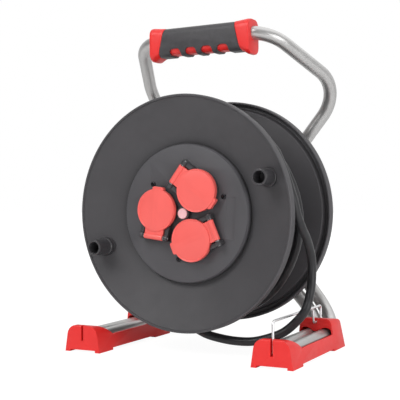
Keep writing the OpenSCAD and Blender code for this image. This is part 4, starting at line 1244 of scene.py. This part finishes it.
def front_flange_mesh():
    """The front flange: rim, cone, floor behind the socket plate, and a boss for each knob."""
    lip = FLANGE_R - RIM_W
    outline = rounded([
        (FLANGE_R, 0), (FLANGE_R, -RIM_DEPTH), (lip, -RIM_DEPTH), (lip, -4.5), (DISH_R, -DISH_BACK),
        (FRONT_HOLE_R, -DISH_BACK), (FRONT_HOLE_R, -DISH_DEPTH), (DISH_R, -DISH_DEPTH),
        (lip, -1.6), (lip, 0)],
        [1.1, 0.6, 0.6, 1.5, 6, 0.5, 0.5, 0.8, 2.0, 1.1], 5)
    boss = rounded([(0, BOSS_BACK), (BOSS_R, BOSS_BACK), (BOSS_R, -9.0), (0, -9.0)], [0, 0.8, 0, 0], 3)
    pocket = [(0, POCKET_BACK), (11.4, POCKET_BACK), (11.9, -1), (12.4, 3), (0, 3)]
    bosses, pockets = bmesh.new(), bmesh.new()
    for angle in KNOB_ANGLES:
        add_lathe(bosses, boss, on_drum(angle, KNOB_R), 72)
        add_lathe(pockets, pocket, on_drum(angle, KNOB_R), 72)
    return boolean(lathe_mesh("front_flange_disc", outline, on_drum(), 288), [
        ("UNION", mesh_from("bosses", bosses)), ("DIFFERENCE", mesh_from("pockets", pockets))])


def rear_flange_mesh():
    """The rear flange: a dished disc with a groove inside its rim."""
    rim, lip, wall = DRUM_DEPTH, FLANGE_R - RIM_W, FLANGE_WALL
    floor = rim - REAR_DISH
    groove = floor + GROOVE_DEPTH
    outline = rounded([
        (FLANGE_R, -rim), (FLANGE_R, -floor - 1), (lip, -floor - 1), (lip - 0.5, -groove),
        (REAR_DISH_R + 1.5, -groove), (REAR_DISH_R, -floor), (REAR_HOLE_R, -floor),
        (REAR_HOLE_R, -floor - wall), (REAR_DISH_R - 2.5, -floor - wall),
        (REAR_DISH_R - 1.5, -groove - wall), (lip - 1, -groove - wall), (lip, -rim)],
        [1.2, 1.2, 1.2, 1.5, 1.5, 1.2, 0, 0, 1.2, 1.5, 1.0, 1.0], 4)
    return lathe_mesh("rear_flange_disc", outline, on_drum(), 288)


class ReelFlanges(bpy.types.Operator):
    """Makes the drum's front and rear flange."""
    bl_idname = "reel.flanges"
    bl_label = "Flanges"

    def execute(self, context):
        new_piece("front_flange_disc", front_flange_mesh(), "drum", "front_plastic", ["front_flange"])
        new_piece("rear_flange_disc", rear_flange_mesh(), "drum", "drum_plastic", ["rear_flange"])
        return {"FINISHED"}


class ReelPlate(bpy.types.Operator):
    """Makes the socket plate, the socket inserts and the button's collar."""
    bl_idname = "reel.plate"
    bl_label = "Socket plate"

    def execute(self, context):
        new_piece("plate_shell", softened("socket_plate", 0.35), "drum", "plate_plastic", ["socket_plate"])
        inserts = [(f"insert_{i}", f"socket_insert_{i}") for i in (1, 2, 3)]
        for name, node in inserts + [("collar", "button_collar")]:
            new_piece(name, softened(node, 0.4), "drum", "knob_plastic", [node])
        return {"FINISHED"}


# ---------- Lids ----------
LID_R = 26.0
LID_BACK = -6.6
LID_TOP = 1.0
LID_FACE_R = 24.5
CREASE_X = 3.2
CREASE_SLOPE = 0.085
HINGE_OUT = 33.0
HINGE_Z = -2.75
HINGE_LEN = 25.4
HINGE_R = 3.75
PIN_R = 1.5
PIN_LEN = 40.6
WELL_R = 19.8
WELL_TOP = -2.8
COIL_R = 2.7
COIL_WIRE_R = 0.38
HINGE_AXIS = Matrix.Translation(Vector((0, HINGE_OUT, HINGE_Z)) * MM) @ Matrix.Rotation(math.pi / 2, 4, "Y")


def lid_face(x, y):
    """Height of a lid's face: a shallow dome with a crease on each side of its middle band."""
    r = math.hypot(x, y) / LID_R
    return LID_TOP - 0.35 * r ** 2 - 0.75 * r ** 6 - CREASE_SLOPE * max(0.0, abs(x) - CREASE_X)


def add_lid(work, place):
    """One socket lid: cup, neck, finger tab and hinge barrel."""
    face = [(0.5 * k, LID_TOP) for k in range(int(LID_FACE_R / 0.5))]
    side = [(LID_FACE_R, LID_TOP), (LID_R, -0.2), (LID_R, LID_BACK), (WELL_R, LID_BACK)]
    cup = face + rounded(side, [0, 0.8, 0.6, 0.5], 4)[1:] + [(WELL_R, WELL_TOP), (0, WELL_TOP)]
    add_lathe(work, cup, FLAT, 120)
    for vert in work.verts:
        x, y, z = vert.co / MM
        if z > LID_TOP - 0.1 and math.hypot(x, y) < LID_FACE_R + 0.1:
            vert.co.z = lid_face(x, y) * MM
    half, bore = HINGE_LEN / 2, PIN_R + 0.2
    neck = rounded_box((-half, 18), (half, HINGE_OUT - 1), [0, 0, 0.8, 0.8], 3)
    add_prism(work, neck, LID_BACK, -1.3, FLAT)
    tab = rounded([(-7.5, -20), (-7.5, -28.6), (7.5, -28.6), (7.5, -20)], [0, 2.2, 2.2, 0], 5)
    add_prism(work, tab, LID_BACK, -0.6, FLAT)
    barrel = rounded([(bore, -half), (HINGE_R, -half), (HINGE_R, half), (bore, half)], [0, 0.5, 0.5, 0], 3)
    add_lathe(work, barrel, HINGE_AXIS, 48)
    work.transform(place)


class ReelLids(bpy.types.Operator):
    """Makes the three socket lids."""
    bl_idname = "reel.lids"
    bl_label = "Lids"

    def execute(self, context):
        for i, angle in enumerate(SOCKET_ANGLES, 1):
            work = bmesh.new()
            add_lid(work, on_drum(angle, SOCKET_R))
            mesh = bevelled(mesh_from(f"lid_cap_{i}", work), edge("lid"), 3, 50)
            new_piece(f"lid_cap_{i}", mesh, f"lid_{i}", "lid_plastic", [f"lid_{i}"])
        return {"FINISHED"}


# ---------- Hinges and screws ----------
SCREW_R = 57.0
SCREW_ANGLE = 20.7
SCREW_LEN = 36.0
SHANK_R, HEAD_R = 1.4, 3.1


def spring_mesh(name):
    """The coiled springs at both ends of the hinge barrels, of two turns each."""
    coils = []
    for angle in SOCKET_ANGLES:
        place = on_drum(angle, SOCKET_R)
        for side in (-1, 1):
            low = side * (HINGE_LEN / 2 + 0.95)
            turns = []
            for k in range(33):
                a = TURN * k / 16
                turns.append((low + 0.55 * k / 32 - 0.27, HINGE_OUT + COIL_R * math.cos(a),
                              HINGE_Z + COIL_R * math.sin(a)))
            coils.append(tube_mesh(name, [place @ p for p in real(turns)], COIL_WIRE_R * MM, sides=8))
    return joined(name, coils)


def pins_mesh(name):
    """The lids' three hinge pins."""
    half = PIN_LEN / 2
    outline = rounded([(0, -half), (PIN_R, -half), (PIN_R, half), (0, half)], [0, 0.5, 0.5, 0], 3)
    work = bmesh.new()
    for angle in SOCKET_ANGLES:
        add_lathe(work, outline, on_drum(angle, SOCKET_R) @ HINGE_AXIS, 32)
    return mesh_from(name, work)


def screw_mesh():
    """One of the plate's screws, with a cross in its head."""
    head = -PLATE_FRONT
    tip = head - SCREW_LEN
    outline = rounded([
        (0, tip), (SHANK_R, tip), (SHANK_R, head - 1.5), (HEAD_R, head - 1.5), (HEAD_R, head + 0.2),
        (2.2, head + 0.7), (0, head + 0.7)], [0, 0.4, 0, 0.2, 0.3, 0.4, 0], 3)
    cross = []
    for k in range(4):
        for x, y in ((1.9, -0.45), (1.9, 0.45), (0.45, 0.45)):
            cross.append(((x, y), (-y, x), (-x, -y), (y, -x))[k])
    return cut(lathe_mesh("screw", outline, FLAT, 40), [prism_mesh("cross", cross, head - 1.1, head + 1)])


class ReelHinges(bpy.types.Operator):
    """Makes the lids' springs and pins and the plate's screws."""
    bl_idname = "reel.hinges"
    bl_label = "Hinges and screws"

    def execute(self, context):
        new_piece("hinge_springs", spring_mesh("hinge_springs"), "drum", "spring_steel", ["lid_springs"])
        new_piece("hinge_pins", pins_mesh("hinge_pins"), "drum", "spring_steel", ["lid_pins"])
        mesh = ring_mesh("plate_screws", screw_mesh(), material("dark_screw"), on_drum(), Count=3,
                         Radius=SCREW_R * MM, Start=math.radians(SCREW_ANGLE), Step=TURN / 3)
        new_piece("screw_heads", mesh, "drum", "dark_screw", ["plate_screws"])
        return {"FINISHED"}


# ---------- Knobs and button ----------
KNOB_FRONT = 19.9
KNOB_BACK = -9.1
KNOB_FLOOR = -1.1
KNOB_BORE_R = 7.3
STUD_HOLE_R = 4.05
BUTTON_FRONT = FRONT_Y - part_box("reset_button")[0].y / MM
BUTTON_R = 6.5
BUTTON_SHOULDER = -12.3
STEM_R = 4.0
STEM_BACK = -22.5


class ReelKnobs(bpy.types.Operator):
    """Makes the crank knobs and the reset button."""
    bl_idname = "reel.knobs"
    bl_label = "Knobs and button"

    def execute(self, context):
        knob = rounded([
            (KNOB_BORE_R, KNOB_FRONT), (9.7, KNOB_FRONT), (9.75, KNOB_BACK + 5), (11, KNOB_BACK + 4),
            (11, KNOB_BACK), (STUD_HOLE_R, KNOB_BACK), (STUD_HOLE_R, KNOB_FLOOR), (KNOB_BORE_R, KNOB_FLOOR)],
            [0.6, 1.0, 1.0, 0.8, 0.4, 0, 0, 0.3], 4)
        for i, angle in enumerate(KNOB_ANGLES, 1):
            mesh = lathe_mesh(f"knob_{i}", knob, on_drum(angle, KNOB_R), 72)
            new_piece(f"knob_{i}", mesh, f"knob_{i}", "knob_plastic", [f"crank_knob_{i}"])
        button = rounded([
            (0, BUTTON_FRONT - 0.2), (3.6, BUTTON_FRONT - 0.2), (4.2, BUTTON_FRONT), (BUTTON_R, BUTTON_FRONT),
            (BUTTON_R, BUTTON_SHOULDER), (STEM_R, BUTTON_SHOULDER), (STEM_R, STEM_BACK), (0, STEM_BACK)],
            [0, 0.3, 0.3, 1.8, 0.3, 0, 0.3, 0], 5)
        mesh = lathe_mesh("button_cap", button, on_drum(), 64)
        new_piece("button_cap", mesh, "button", "button_plastic", ["reset_button"])
        return {"FINISHED"}


# ---------- Finishes, panel and main ----------
class ReelFinishes(bpy.types.Operator):
    """Gives every CAD node that still shows its finish."""
    bl_idname = "reel.finishes"
    bl_label = "Finishes"

    def execute(self, context):
        slots = {row["node"]: row["material_slot"] for row in frame["record"]["subparts"]}
        for node, obj in frame["nodes"].items():
            obj.data.materials.clear()
            obj.data.materials.append(material(slots[node]))
        return {"FINISHED"}


OPERATORS = (ReelStage, ReelCable, ReelFrame, ReelFeet, ReelHandle, ReelFlanges, ReelPlate, ReelLids,
             ReelHinges, ReelKnobs, ReelFinishes)


class ReelPanel(bpy.types.Panel):
    """Lists the reel's settings and its builders."""
    bl_idname = "VIEW3D_PT_reel"
    bl_label = "Extension cord reel"
    bl_space_type = "VIEW_3D"
    bl_region_type = "UI"
    bl_category = "Reel"

    def draw(self, context):
        for group in (context.scene.reel_finish, context.scene.reel_sizes):
            for name in group.__annotations__:
                self.layout.prop(group, name)
        for operator in OPERATORS:
            self.layout.operator(operator.bl_idname)


CLASSES = (ReelFinish, ReelSizes, *OPERATORS, ReelPanel)


def register():
    for cls in CLASSES:
        bpy.utils.register_class(cls)
    bpy.types.Scene.reel_finish = bpy.props.PointerProperty(type=ReelFinish)
    bpy.types.Scene.reel_sizes = bpy.props.PointerProperty(type=ReelSizes)


def unregister():
    del bpy.types.Scene.reel_sizes
    del bpy.types.Scene.reel_finish
    for cls in reversed(CLASSES):
        bpy.utils.unregister_class(cls)


def main():
    register()
    for operator in OPERATORS:
        group, name = operator.bl_idname.split(".")
        getattr(getattr(bpy.ops, group), name)()


if __name__ == "__main__":
    main()
